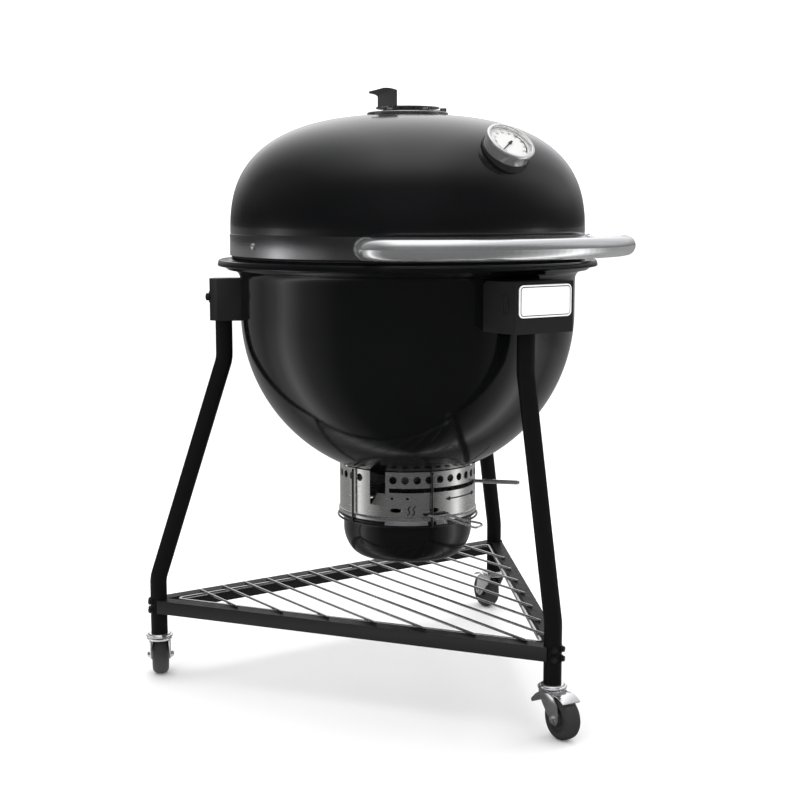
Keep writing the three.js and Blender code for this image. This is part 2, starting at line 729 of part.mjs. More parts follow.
function casterFork(brake) {
  const shape = outline([
    [12, forkTop - 1],
    [-TRAIL + 2, forkTop - 1],
    [-TRAIL - 9, WHEEL_RADIUS + 4],
    [-TRAIL - 9, WHEEL_RADIUS - 6],
    [-TRAIL, WHEEL_RADIUS - 10],
    [-TRAIL + 9, WHEEL_RADIUS - 6],
    [0, forkTop - 20],
    [12, forkTop - 12],
  ]);
  let fork = drum(RACE_RADIUS - 1, forkTop - 3, forkTop, 16).add(drum(kingPin, forkTop - 1, forkTop + 12, 10));
  [-1, 1].forEach((side) => {
    const inner = side > 0 ? plateInner : -plateInner - FORK_WALL;
    fork = fork.add(plate(shape, inner, inner + FORK_WALL));
  });
  const hole = axleDrum(AXLE_RADIUS + GAP, -40, 40, -TRAIL, WHEEL_RADIUS, 10);
  const wheelSpace = axleDrum(WHEEL_RADIUS + 2.5, -plateInner, plateInner, -TRAIL, WHEEL_RADIUS, 16);
  if (brake) fork = fork.subtract(axleDrum(TRUNNION + GAP, -40, 40, PEDAL_Y, PEDAL_Z, 10));
  return fork.subtract(hole).subtract(wheelSpace);
}

function casterWheel() {
  const corner = WHEEL_RADIUS / Math.cos(Math.PI / WHEEL_FACETS);
  const half = WHEEL_WIDTH / 2;
  const bore = AXLE_RADIUS + GAP;
  const profile = [
    [bore, -half],
    [corner - 7, -half],
    [corner, -half + 7],
    [corner, half - 7],
    [corner - 7, half],
    [bore, half],
    [bore, -half],
  ];
  const flatDown = 180 / WHEEL_FACETS;
  const wheel = turned(profile, WHEEL_FACETS).rotate([0, 0, flatDown]);
  return wheel.rotate([0, 90, 0]).translate([0, -TRAIL, WHEEL_RADIUS]);
}

function casterAxle() {
  const plateOuter = plateInner + FORK_WALL + GAP;
  const shank = axleDrum(AXLE_RADIUS, -plateOuter - 1, plateOuter + 1, -TRAIL, WHEEL_RADIUS, 10);
  const head = axleDrum(7, plateOuter, plateOuter + 4.5, -TRAIL, WHEEL_RADIUS, 6);
  const nut = axleDrum(7, -plateOuter - 5.5, -plateOuter, -TRAIL, WHEEL_RADIUS, 6);
  return shank.add(head).add(nut);
}

// Brake pedal: a pressed lever opposite the wheel, its trunnions in the fork's cheeks
function brakePedal() {
  const shape = outline([
    [PEDAL_Y - 6, PEDAL_Z + 4],
    [PEDAL_Y + 8, PEDAL_Z + 4],
    [PEDAL_Y + 28, PEDAL_Z - 8],
    [PEDAL_Y + 43, PEDAL_Z - 22],
    [PEDAL_Y + 40, PEDAL_Z - 27],
    [PEDAL_Y + 24, PEDAL_Z - 15],
    [PEDAL_Y + 8, PEDAL_Z - 5],
    [PEDAL_Y - 6, PEDAL_Z - 4],
  ]);
  const reach = plateInner + FORK_WALL - 1;
  return plate(shape, -13, 13).add(axleDrum(TRUNNION, -reach, reach, PEDAL_Y, PEDAL_Z, 10));
}

CASTERS.forEach(({ name, angle, reach, swivel, brake }) => {
  const caster = new THREE.Group();
  caster.position.copy(polar(reach, angle));
  caster.rotation.z = degrees(swivel);
  kettle.add(caster);
  add(`caster_race_${name}`, casterRace(), chrome, caster);
  add(`caster_fork_${name}`, casterFork(brake), chrome, caster);
  add(`caster_wheel_${name}`, casterWheel(), rubber, caster);
  add(`caster_axle_${name}`, casterAxle(), chrome, caster);
  if (brake) add('brake_pedal', brakePedal(), chrome, caster);
});

// Thermometer, built on its own axis with the face at zero height, then tilted onto the dome
const gaugeAngle = degrees(GAUGE_TILT);

function gaugePlace() {
  const foot = domeCurve(0, CHIMNEY_RADIUS, 400).find(([radius, height]) => {
    const slope = (height - domeBase) / DOME_HEIGHT;
    return radius < LID_RADIUS * 0.862 && slope > 0;
  });
  return {
    y: -foot[0] - GAUGE_STAND * Math.sin(gaugeAngle),
    z: foot[1] + GAUGE_STAND * Math.cos(gaugeAngle),
  };
}

const gauge = gaugePlace();

function onGauge(body) {
  return body.rotate([GAUGE_TILT, 0, 0]).translate([0, gauge.y, gauge.z]);
}

function domeEnvelope() {
  const crown = domeHeightAt(CHIMNEY_RADIUS) + GAP;
  return turned([[0, domeBase - 30], [LID_RADIUS + GAP, domeBase - 30], ...domeCurve(-GAP, CHIMNEY_RADIUS), [0, crown]]);
}

const gaugeBore = onGauge(drum(PROBE_RADIUS + 2, -160, -5, 12));

function gaugeCase() {
  const body = turned([
    [PROBE_RADIUS + GAP, -GAUGE_STAND - 16],
    [GAUGE_RADIUS - 16, -GAUGE_STAND - 16],
    [GAUGE_RADIUS - 14, -GAUGE_STAND + 4],
    [GAUGE_RADIUS - 5, -16],
    [GAUGE_RADIUS, -13],
    [GAUGE_RADIUS, -2],
    [GAUGE_RADIUS - 1.5, 0],
    [GAUGE_RADIUS - 4, 0],
    [GAUGE_RADIUS - 4, -GAUGE_DIAL_DEPTH - 1.8],
    [PROBE_RADIUS + GAP, -GAUGE_DIAL_DEPTH - 1.8],
    [PROBE_RADIUS + GAP, -GAUGE_STAND - 16],
  ], SMALL_SEGMENTS);
  return onGauge(body).subtract(domeEnvelope());
}

function gaugePointer() {
  const hub = drum(4, -GAUGE_DIAL_DEPTH + GAP, -GAUGE_DIAL_DEPTH + 2.3, 12);
  const needle = block(2, 42, 1, 0, 12, -GAUGE_DIAL_DEPTH + 1.4);
  const pin = drum(1.2, -GAUGE_DIAL_DEPTH - 1.2, -GAUGE_DIAL_DEPTH + 1, 8);
  return onGauge(hub.add(needle).add(pin).rotate([0, 0, 125]));
}

const dialInner = GAUGE_RADIUS - 4 - GAP;
const lid = new THREE.Group();
kettle.add(lid);
add('gauge_case', gaugeCase(), polished, lid);
add('gauge_dial', onGauge(ring(1.6, dialInner, -GAUGE_DIAL_DEPTH - 1.5, -GAUGE_DIAL_DEPTH, SMALL_SEGMENTS)), dialWhite, lid);
add('gauge_pointer', gaugePointer(), blackPlastic, lid);
add('gauge_glass', onGauge(drum(dialInner, -3.2, -1.2, SMALL_SEGMENTS)), glass, lid);
const probeTop = -GAUGE_DIAL_DEPTH - 1.8 - GAP;
add('gauge_probe', onGauge(drum(PROBE_RADIUS, probeTop - PROBE_LENGTH, probeTop, 12)), brushed, lid);

// Lid shell, liner and band
function lidShell() {
  const hidden = LID_RADIUS - 2;
  const outside = [[hidden, lidBottom + 0.5], [hidden, bandTop + GAP], ...domeCurve(0, CHIMNEY_RADIUS)];
  const inside = [...domeCurve(WALL, CHIMNEY_RADIUS)].reverse();
  const profile = [...outside, ...inside, [LID_RADIUS - WALL - 2, bandTop], [LID_RADIUS - WALL - 2, lidBottom + 0.5]];
  return turned([...profile, outside[0]]).subtract(gaugeBore);
}

function lidLiner() {
  const inset = WALL + AIR_SPACE;
  const outer = LID_RADIUS - inset;
  const neckTop = domeBase + DOME_HEIGHT - WALL - 1.5;
  const outside = [
    [outer - LINER_WALL, lidBottom + 0.3],
    [LID_RADIUS - WALL - 2 - GAP, lidBottom + 0.3],
    [LID_RADIUS - WALL - 2 - GAP, lidBottom + 2.8],
    [outer, lidBottom + 2.8],
    ...domeCurve(inset, CHIMNEY_RADIUS + LINER_WALL),
    [CHIMNEY_RADIUS + LINER_WALL, neckTop],
    [CHIMNEY_RADIUS, neckTop],
  ];
  const inside = [...domeCurve(inset + LINER_WALL, CHIMNEY_RADIUS)].reverse();
  return turned([...outside, ...inside, outside[0]]).subtract(gaugeBore);
}

function bandScrew(side) {
  const body = drum(4.5, 0, 2.4, 12).rotate([90, 0, 0]);
  return body.translate([0, -LID_RADIUS - 1 - GAP, (lidBottom + bandTop) / 2]).rotate([0, 0, side * 94]);
}

add('lid_shell', lidShell(), enamel, lid);
add('lid_liner', lidLiner(), enamel, lid);
add('lid_band', ring(LID_RADIUS - 2 + GAP, LID_RADIUS + 1, lidBottom, bandTop), brushed, lid);
add('band_screw_left', bandScrew(-1), chrome, lid);
add('band_screw_right', bandScrew(1), chrome, lid);

// Handle: a bent tube round the front of the lid, its ends cut to the band
function lidHandle() {
  const height = (lidBottom + bandTop) / 2;
  const reach = LID_RADIUS + HANDLE_REACH;
  const route = [];
  const arc = HANDLE_SPREAD - 7;
  const turnPoints = (side) => rounded([
    polar(reach, side * (arc - 12), height),
    polar(reach + 3, side * (arc + 1.5), height),
    polar(LID_RADIUS - 12, side * HANDLE_SPREAD, height),
  ], HANDLE_BEND, 4);
  route.push(...turnPoints(-1).reverse());
  for (let angle = -arc + 18; angle < arc - 14; angle += 9) route.push(polar(reach, angle, height));
  route.push(...turnPoints(1));
  const tube = rod(route, HANDLE_RADIUS, 10, HANDLE_RADIUS - HANDLE_WALL);
  return tube.subtract(drum(LID_RADIUS + 1 + GAP, lidBottom - 40, bandTop + 40, SEGMENTS));
}

add('lid_handle', lidHandle(), polished, lid);

// Lid hinge behind the kettle: a bracket on the bowl, an arm on the lid, a pin and its spring
const hingeY = LID_RADIUS + HINGE_REACH;
const hingeZ = RIM_HEIGHT + 7;
const cheek = 6;

function hingeBracket() {
  const profile = new THREE.Shape();
  profile.moveTo(bowlRadius - 12, RIM_HEIGHT - 20);
  profile.lineTo(rimRadius + 1, RIM_HEIGHT - 20);
  profile.lineTo(rimRadius + 1, hingeZ);
  profile.absarc(hingeY, hingeZ, hingeY - rimRadius - 1, Math.PI, 0, true);
  profile.lineTo(2 * hingeY - rimRadius - 1, RIM_HEIGHT - 28);
  profile.lineTo(bowlRadius + 8, RIM_HEIGHT - 80);
  profile.lineTo(bowlRadius - 12, RIM_HEIGHT - 80);
  const sides = [-HINGE_HALF, HINGE_HALF - cheek].map((x) => plate(profile, x, x + cheek));
  const back = block(2 * HINGE_HALF, 20, 60, 0, bowlRadius - 2, RIM_HEIGHT - 50);
  const hole = axleDrum(HINGE_PIN + GAP, -60, 60, hingeY, hingeZ, 16);
  return sides[0].add(sides[1]).add(back).subtract(hole).subtract(bowlEnvelope());
}

function hingeArm() {
  const lidSide = LID_RADIUS - 8;
  const profile = new THREE.Shape();
  profile.moveTo(hingeY, hingeZ - 11);
  profile.absarc(hingeY, hingeZ, 11, -Math.PI / 2, Math.PI / 3, false);
  profile.lineTo(LID_RADIUS + 10, bandTop - 2);
  profile.lineTo(lidSide, bandTop - 2);
  profile.lineTo(lidSide, lidBottom + 2);
  profile.lineTo(rimRadius + 2, lidBottom - 5);
  profile.lineTo(rimRadius + 9, hingeZ - 4);
  const outer = HINGE_HALF - cheek - 2;
  const sides = [-outer, outer - cheek].map((x) => plate(profile, x, x + cheek));
  const back = block(2 * outer, 12, BAND_HEIGHT - 4, 0, LID_RADIUS - 1, (lidBottom + bandTop) / 2);
  const hole = axleDrum(HINGE_PIN + GAP, -60, 60, hingeY, hingeZ, 16);
  const body = sides[0].add(sides[1]).add(back).subtract(hole);
  return body.subtract(drum(LID_RADIUS + 1 + GAP, lidBottom - 40, bandTop + 40, SEGMENTS));
}

const pinEnd = HINGE_HALF + GAP;
const hingePin = axleDrum(HINGE_PIN, -pinEnd - 3, pinEnd + 1, hingeY, hingeZ, 16)
  .add(axleDrum(7, pinEnd, pinEnd + 4, hingeY, hingeZ, 16));
const springHalf = HINGE_HALF - 2 * cheek - 4;
const hingeSpring = ring(HINGE_PIN + 1, 9, -springHalf, springHalf, 16)
  .rotate([0, 90, 0]).translate([0, hingeY, hingeZ]);

add('hinge_bracket', hingeBracket(), powderCoat);
add('hinge_pin', hingePin, chrome);
add('hinge_spring', hingeSpring, brushed);
add('hinge_arm', hingeArm(), powderCoat, lid);

// Top vent: a flanged ring on the dome, a cap hinged to it and a slotted disc with a finger knob
const ventTop = domeBase + DOME_HEIGHT + 5;
const hingeOut = VENT_RADIUS - 9.5;
const hingeUp = ventTop + 4;
const windowAngles = [45, 135, 225, 315];

function ventWindows(bottom, top) {
  return joined(windowAngles.map((angle) => sector(16, 40, angle, 44, bottom, top, 1)));
}

function ventBase() {
  const spigot = CHIMNEY_RADIUS - GAP - 0.1;
  const body = turned([
    [spigot - 2, domeBase + DOME_HEIGHT - 20],
    [spigot, domeBase + DOME_HEIGHT - 20],
    [spigot, domeHeightAt(spigot) + GAP],
    [VENT_RADIUS, domeHeightAt(spigot) + GAP],
    [VENT_RADIUS, ventTop - 2],
    [VENT_RADIUS - 2, ventTop],
    [spigot - 2, ventTop],
    [spigot - 2, domeBase + DOME_HEIGHT - 20],
  ]);
  let lugs = joined([-11, 8].map((x) => block(3, 12, 8.5, x + 1.5, -hingeOut, ventTop + 3.2)));
  lugs = lugs.subtract(axleDrum(2 + GAP, -20, 20, -hingeOut, hingeUp, 10)).rotate([0, 0, VENT_HINGE_ANGLE]);
  return body.add(lugs);
}

function ventCap() {
  const bottom = ventTop + 0.4;
  const wall = ring(CAP_RADIUS - 3, CAP_RADIUS, bottom, bottom + 6, SMALL_SEGMENTS);
  const lidPlate = ring(3.4, CAP_RADIUS - 1, bottom + 4, bottom + 6, SMALL_SEGMENTS).subtract(ventWindows(0, 2000));
  const arm = block(15, hingeOut - CAP_RADIUS + 6, 3.2, 0, -(hingeOut + CAP_RADIUS) / 2 + 2.5, bottom + 1.8);
  const eye = axleDrum(3.4, -7.5, 7.5, -hingeOut, hingeUp, 10);
  const hole = axleDrum(2 + GAP, -20, 20, -hingeOut, hingeUp, 10);
  const hinge = arm.add(eye).subtract(hole).rotate([0, 0, VENT_HINGE_ANGLE]);
  return wall.add(lidPlate).add(hinge);
}

const discBottom = ventTop + 0.4 + 6 + GAP;

function ventDisc() {
  const disc = drum(DISC_RADIUS, discBottom, discBottom + 2.8, SMALL_SEGMENTS).subtract(ventWindows(0, 2000));
  return disc.add(drum(3, ventTop + 1, discBottom + 1, 12)).add(drum(6, discBottom + 1, discBottom + 4.5, 16));
}

function ventKnob() {
  const bottom = discBottom + 2.8 + GAP;
  const shape = new THREE.Shape();
  shape.moveTo(20, bottom);
  shape.lineTo(57, bottom);
  shape.lineTo(57, bottom + 19);
  shape.quadraticCurveTo(58, bottom + 25, 73.5, bottom + 26.5);
  shape.lineTo(73.5, bottom + 29);
  shape.quadraticCurveTo(56, bottom + 33, 46, bottom + 36);
  shape.quadraticCurveTo(32, bottom + 37, 20, bottom + 32);
  const body = plate(shape, -11, 11);
  return body.rotate([0, 0, VENT_HINGE_ANGLE]);
}

const ventPin = axleDrum(2, -12.5, 12.5, -hingeOut, hingeUp, 10).rotate([0, 0, VENT_HINGE_ANGLE]);
add('vent_base', ventBase(), brushed, lid);
add('vent_pin', ventPin, chrome, lid);
add('vent_cap', ventCap(), brushed, lid);
add('vent_disc', ventDisc(), brushed, lid);
add('vent_knob', ventKnob(), blackPlastic, lid);

// Stand the grill on the floor with its middle over the origin
const box = new THREE.Box3().setFromObject(grill);
kettle.position.set(-(box.min.x + box.max.x) / 2, -(box.min.y + box.max.y) / 2, -box.min.z);

export default grill;
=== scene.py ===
# A kettle charcoal grill on a three-legged caster stand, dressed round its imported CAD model. Metres, front toward -Y.
import math
import bmesh
import bpy
from mathutils import Matrix, Vector


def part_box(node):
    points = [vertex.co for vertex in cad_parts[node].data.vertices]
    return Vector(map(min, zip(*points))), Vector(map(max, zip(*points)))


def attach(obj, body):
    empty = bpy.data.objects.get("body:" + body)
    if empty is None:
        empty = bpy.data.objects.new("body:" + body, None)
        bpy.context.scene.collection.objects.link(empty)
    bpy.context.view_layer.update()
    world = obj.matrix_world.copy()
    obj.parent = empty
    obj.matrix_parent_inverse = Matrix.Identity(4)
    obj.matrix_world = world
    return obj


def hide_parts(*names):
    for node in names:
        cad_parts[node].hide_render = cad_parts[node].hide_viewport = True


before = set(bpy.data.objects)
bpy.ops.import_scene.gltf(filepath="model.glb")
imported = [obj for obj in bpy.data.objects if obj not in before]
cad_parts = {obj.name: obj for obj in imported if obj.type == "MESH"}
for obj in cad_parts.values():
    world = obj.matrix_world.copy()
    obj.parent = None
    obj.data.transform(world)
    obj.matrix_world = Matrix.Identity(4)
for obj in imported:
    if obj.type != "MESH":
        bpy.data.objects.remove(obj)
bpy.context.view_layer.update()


# Bowl: a deep steel bowl, enamelled gloss black, pressed with a rolled rim that the lid sits on.
# Three ash slots are cut round its bottom. Every other piece is placed from its upright axis. Sizes are in mm.
liner_low, liner_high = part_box("bowl_liner")
bowl_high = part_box("bowl_shell")[1]
kettle_x = (liner_low.x + liner_high.x) / 2
kettle_y = (liner_low.y + liner_high.y) / 2
SEAT = bowl_high.z * 1000
RIM = SEAT - 18
BOWL = 322.5
BOWL_MIDDLE = RIM - 86
BOWL_SHEET = 3
SHAFT_HOLE = 8.9
SLOT_INNER, SLOT_OUTER = 50, 105
SLOT_ANGLES, SLOT_HALF_ANGLE = (60, 180, 300), 18
SLOTS_BELOW = BOWL_MIDDLE - 200


def spot(x, y, z):
    """A point in mm from the kettle's axis and the floor, in the row frame."""
    return Vector((kettle_x + x / 1000, kettle_y + y / 1000, z / 1000))


def round_spot(reach, angle, z):
    """A point at a reach in mm from the axis, at an angle in degrees from the front toward +X."""
    turn = math.radians(angle)
    return spot(reach * math.sin(turn), -reach * math.cos(turn), z)


def as_mesh(work, name):
    """A finished bmesh as a mesh."""
    shape = bpy.data.meshes.new(name)
    work.to_mesh(shape)
    work.free()
    return shape


def turned(profile, turns=128, closed=False, place=None, slots=None):
    """Radius and height pairs in mm, turned round an upright axis. Outer walls run up, inner walls run down."""
    place = place or Matrix.Translation((kettle_x, kettle_y, 0))
    work = bmesh.new()
    rings = []
    for reach, height in profile:
        count = 1 if reach < 0.001 else turns
        rings.append([
            work.verts.new(place @ Vector((
                reach * math.sin(2 * math.pi * i / turns) / 1000,
                -reach * math.cos(2 * math.pi * i / turns) / 1000,
                height / 1000,
            )))
            for i in range(count)
        ])
    pairs = list(zip(range(len(rings)), range(1, len(rings))))
    if closed:
        pairs.append((len(rings) - 1, 0))
    for low, high in pairs:
        for i in range(turns):
            middle = (profile[low][0] + profile[high][0]) / 2
            if slots and slots(middle, 360 * (i + 0.5) / turns, (profile[low][1] + profile[high][1]) / 2):
                continue
            j = (i + 1) % turns
            below, above = rings[low], rings[high]
            if len(below) == 1 and len(above) == 1:
                continue
            if len(below) == 1:
                work.faces.new((below[0], above[j], above[i]))
            elif len(above) == 1:
                work.faces.new((below[i], below[j], above[0]))
            else:
                work.faces.new((below[i], below[j], above[j], above[i]))
    return as_mesh(work, "turned")


def placed(name, data):
    """A new object in the scene."""
    piece = bpy.data.objects.new(name, data)
    bpy.context.scene.collection.objects.link(piece)
    return piece


def result_of(piece):
    """What a working object's modifiers make of it, as a plain mesh. The object itself goes."""
    bpy.context.view_layer.update()
    shape = bpy.data.meshes.new_from_object(piece.evaluated_get(bpy.context.evaluated_depsgraph_get()))
    bpy.data.objects.remove(piece)
    return shape


def changed(shape, kind, **settings):
    """The mesh after one modifier."""
    piece = placed("work", shape)
    modifier = piece.modifiers.new(kind, kind)
    for label, value in settings.items():
        setattr(modifier, label, value)
    return result_of(piece)


def walled(shape, sheet):
    """A turned skin with the thickness of its sheet, inwards."""
    return changed(shape, "SOLIDIFY", thickness=sheet / 1000, offset=-1.0)


def fitted(name, shape, finish, body, slot, *replaced, crease=32):
    """Names a finished mesh, gives it its material, and fits it to a body in place of plain CAD solids."""
    piece = placed(name, shape)
    if finish is not None:
        piece.data.materials.clear()
        piece.data.materials.append(finish)
    piece.data.shade_smooth()
    piece.data.set_sharp_from_angle(angle=math.radians(crease))
    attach(piece, body)
    if replaced:
        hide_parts(*replaced)
    return piece


def wired(tree, kind, plugs=None, **settings):
    """A node's outputs, after its settings, and each input wired to an output or set to a value."""
    node = tree.nodes.new(kind)
    for label, value in settings.items():
        setattr(node, label, value)
    for label, value in (plugs or {}).items():
        if isinstance(value, bpy.types.NodeSocket):
            tree.links.new(value, node.inputs[label])
        else:
            node.inputs[label].default_value = value
    return node.outputs


WEAR_FADE = 0.12
RELIEF_DEPTH = 0.0006


def surface(name, colour, deep, rough, rough_more, metallic=0.0, scale=40.0, stretch=(1, 1, 1), bump=0.0,
            bump_scale=400.0, round_axis=None, wear=None, wear_at=0.56, **sockets):
    """A finish whose colour, roughness and relief all vary over the piece. A brushed grain runs along round_axis."""
    finish = bpy.data.materials.new(name)
    finish.use_nodes = True
    tree = finish.node_tree
    shader = tree.nodes["Principled BSDF"]
    coords = wired(tree, "ShaderNodeTexCoord")["Object"]
    if round_axis is not None:
        from_axis = wired(tree, "ShaderNodeVectorMath", {0: coords, 1: round_axis}, operation="SUBTRACT")[0]
        split = wired(tree, "ShaderNodeSeparateXYZ", {0: from_axis})
        angle = wired(tree, "ShaderNodeMath", {0: split["X"], 1: split["Y"]}, operation="ARCTAN2")[0]
        flat = wired(tree, "ShaderNodeCombineXYZ", {"X": split["X"], "Y": split["Y"]})[0]
        reach = wired(tree, "ShaderNodeVectorMath", {0: flat}, operation="LENGTH")["Value"]
        coords = wired(tree, "ShaderNodeCombineXYZ", {"X": angle, "Y": reach, "Z": split["Z"]})[0]
    mapped = wired(tree, "ShaderNodeMapping", {"Vector": coords, "Scale": stretch})[0]
    cloud = wired(tree, "ShaderNodeTexNoise", {"Vector": mapped, "Scale": scale, "Detail": 6.0})["Fac"]
    tone = wired(tree, "ShaderNodeMix", {"Factor": cloud, "A": (*deep, 1), "B": (*colour, 1)},
                 data_type="RGBA")["Result"]
    if wear:
        edge = wired(tree, "ShaderNodeNewGeometry")["Pointiness"]
        rub = wired(tree, "ShaderNodeMapRange",
                    {"Value": edge, "From Min": wear_at, "From Max": wear_at + WEAR_FADE})["Result"]
        tone = wired(tree, "ShaderNodeMix", {"Factor": rub, "A": tone, "B": (*wear, 1)}, data_type="RGBA")["Result"]
    tree.links.new(tone, shader.inputs["Base Color"])
    gloss = wired(tree, "ShaderNodeMapRange",
                  {"Value": cloud, "From Min": 0.3, "From Max": 0.7, "To Min": rough, "To Max": rough_more})["Result"]
    tree.links.new(gloss, shader.inputs["Roughness"])
    if bump:
        grain = wired(tree, "ShaderNodeTexNoise", {"Vector": mapped, "Scale": bump_scale, "Detail": 3.0})["Fac"]
        relief = wired(tree, "ShaderNodeBump", {"Height": grain, "Strength": bump, "Distance": RELIEF_DEPTH})[0]
        tree.links.new(relief, shader.inputs["Normal"])
    shader.inputs["Metallic"].default_value = metallic
    for label, value in sockets.items():
        shader.inputs[label.replace("_", " ")].default_value = value
    return finish


enamel = surface("gloss black enamel", (0.0032, 0.0034, 0.0038), (0.0026, 0.0028, 0.003), 0.10, 0.15, scale=9,
                 bump=0.03, bump_scale=70, Specular_IOR_Level=0.38, Coat_Weight=0.12, Coat_Roughness=0.04)


def bowl_arc(radius, steps=44):
    """A quarter circle from the shaft hole up to the wall, with a ring of points at both ends of the ash slots."""
    start = math.asin(SHAFT_HOLE / radius)
    reaches = [radius * math.sin(start + (math.pi / 2 - start) * i / steps) for i in range(steps + 1)]
    reaches = sorted(set(reaches) | {SLOT_INNER, SLOT_OUTER})
    return [(reach, BOWL_MIDDLE - math.sqrt(max(0.0, radius**2 - reach**2))) for reach in reaches]


def ash_slot(reach, angle, height):
    across = min(abs(angle - middle) for middle in SLOT_ANGLES)
    return height < SLOTS_BELOW and SLOT_INNER < reach < SLOT_OUTER and across < SLOT_HALF_ANGLE


bowl_profile = bowl_arc(BOWL) + [
    (BOWL, RIM - 50), (BOWL, RIM - 24), (BOWL + 0.6, RIM - 17), (BOWL + 3, RIM - 11.5), (BOWL + 7.5, RIM - 7),
    (BOWL + 13, RIM - 4.6), (BOWL + 19, RIM - 3.8), (346, RIM - 3.4), (348.5, RIM - 1.5), (350.5, RIM + 1.6),
    (353, RIM + 3), (361, RIM + 3.2), (364, RIM + 3.8), (365, RIM + 5.2), (364.8, RIM + 7.4), (363.4, RIM + 12.6),
    (362.2, RIM + 14.6), (359.6, RIM + 15.6), (354, RIM + 15.4), (349, RIM + 15.2), (345.5, RIM + 16.2),
    (342, SEAT - 0.2), (338, SEAT), (BOWL - 2.7, SEAT),
]
bowl_mesh = walled(turned(bowl_profile, 120, slots=ash_slot), BOWL_SHEET)
fitted("bowl", bowl_mesh, enamel, "stand", "black_enamel", "bowl_shell")


# Bowl liner: a second, thinner bowl inside the first, with air between them, so that the kettle holds its heat.
# Enamelled black and hung by a flange from the rim. The same ash slots go through it.
LINER = 308.5
LINER_SHEET = 2.5
liner_profile = bowl_arc(LINER) + [(LINER, RIM - 40), (LINER, RIM + 10), (LINER + 1, RIM + 13.2),
                                   (LINER + 3, SEAT - 3.3), (BOWL - 3.5, SEAT - 3.3)]
liner_mesh = walled(turned(liner_profile, 120, slots=ash_slot), LINER_SHEET)
used_enamel = surface("used inner enamel", (0.012, 0.011, 0.011), (0.007, 0.007, 0.007), 0.2, 0.38, scale=14, bump=0.15,
                      bump_scale=120)
fitted("inner_bowl", liner_mesh, used_enamel, "stand", "black_enamel", "bowl_liner")


# Rim seal: a rope of woven black fibre that the lid presses on.
# It lies flat on the bowl's rim, glued down all the way round.
SEAL_IN, SEAL_OUT = BOWL - 1, 338
SEAL_MIDDLE, SEAL_HALF = SEAT + 2.55, 2.25
seal_profile = []
for i in range(24):
    turn = -math.pi / 2 + 2 * math.pi * i / 24
    wide = math.copysign(abs(math.cos(turn)) ** 0.6, math.cos(turn))
    tall = math.copysign(abs(math.sin(turn)) ** 0.8, math.sin(turn))
    seal_profile.append(((SEAL_IN + SEAL_OUT) / 2 + wide * (SEAL_OUT - SEAL_IN) / 2, SEAL_MIDDLE + SEAL_HALF * tall))
seal_finish = surface("woven seal", (0.03, 0.03, 0.03), (0.008, 0.008, 0.008), 0.85, 0.95, scale=30, stretch=(60, 1, 3),
                      bump=0.6, bump_scale=260, round_axis=(kettle_x, kettle_y, 0))
fitted("rim_seal", turned(seal_profile, 160, closed=True), seal_finish, "stand", "seal", "rim_gasket", crease=60)


# Cooking and charcoal grates: rods welded side by side into a ring, and two stays across under them.
# The cooking grate is plated bright; the charcoal grate is heavier bare steel. Steel brackets in the liner carry both.
class Tree:
    """A geometry node tree with named inputs. It ends in Realize Instances and Set Material."""

    def __init__(self, name, **inputs):
        self.group = bpy.data.node_groups.new(name, "GeometryNodeTree")
        face = self.group.interface
        face.new_socket("Geometry", in_out="INPUT", socket_type="NodeSocketGeometry")
        for label, kind in inputs.items():
            face.new_socket(label.replace("_", " "), in_out="INPUT", socket_type="NodeSocket" + kind)
        face.new_socket("Finish", in_out="INPUT", socket_type="NodeSocketMaterial")
        face.new_socket("Geometry", in_out="OUTPUT", socket_type="NodeSocketGeometry")
        self.given = self.group.nodes.new("NodeGroupInput").outputs

    def add(self, kind, plugs=None, **settings):
        return wired(self.group, kind, plugs, **settings)

    def math(self, operation, a, b=0.0):
        return self.add("ShaderNodeMath", {0: a, 1: b}, operation=operation)[0]

    def join(self, *parts):
        node = self.group.nodes.new("GeometryNodeJoinGeometry")
        for part in parts:
            self.group.links.new(part, node.inputs[0])
        return node.outputs[0]

    def finish(self, shape):
        real = self.add("GeometryNodeRealizeInstances", {0: shape})[0]
        painted = self.add("GeometryNodeSetMaterial", {"Geometry": real, "Material": self.given["Finish"]})[0]
        out = self.group.nodes.new("NodeGroupOutput")
        self.group.links.new(painted, out.inputs[0])


def grown(tree, finish, base=None, **values):
    """The tree's result as a plain mesh. Sizes are set by socket identifier before anything is evaluated."""
    base = base or bpy.data.meshes.new("start")
    piece = bpy.data.objects.new("grown", base)
    maker = piece.modifiers.new("make", "NODES")
    maker.node_group = tree.group
    names = {s.name: s.identifier for s in tree.group.interface.items_tree if s.in_out == "INPUT"}
    for label, value in values.items():
        maker[names[label.replace("_", " ")]] = value
    maker[names["Finish"]] = finish
    bpy.context.scene.collection.objects.link(piece)
    return result_of(piece)


def wire_shape(*paths):
    """A mesh of edges only: each path is a list of points, closed where its last point is its first."""
    shape = bpy.data.meshes.new("wires")
    points, edges = [], []
    for path in paths:
        closed = (path[0] - path[-1]).length < 1e-6
        start = len(points)
        points += path[:-1] if closed else path
        count = len(points) - start
        edges += [(start + i, start + (i + 1) % count) for i in range(count if closed else count - 1)]
    shape.from_pydata(points, edges, [])
    return shape


def hoop(radius, z, steps=128):
    return [round_spot(radius, 360 * i / steps, z) for i in range(steps)] + [round_spot(radius, 0, z)]


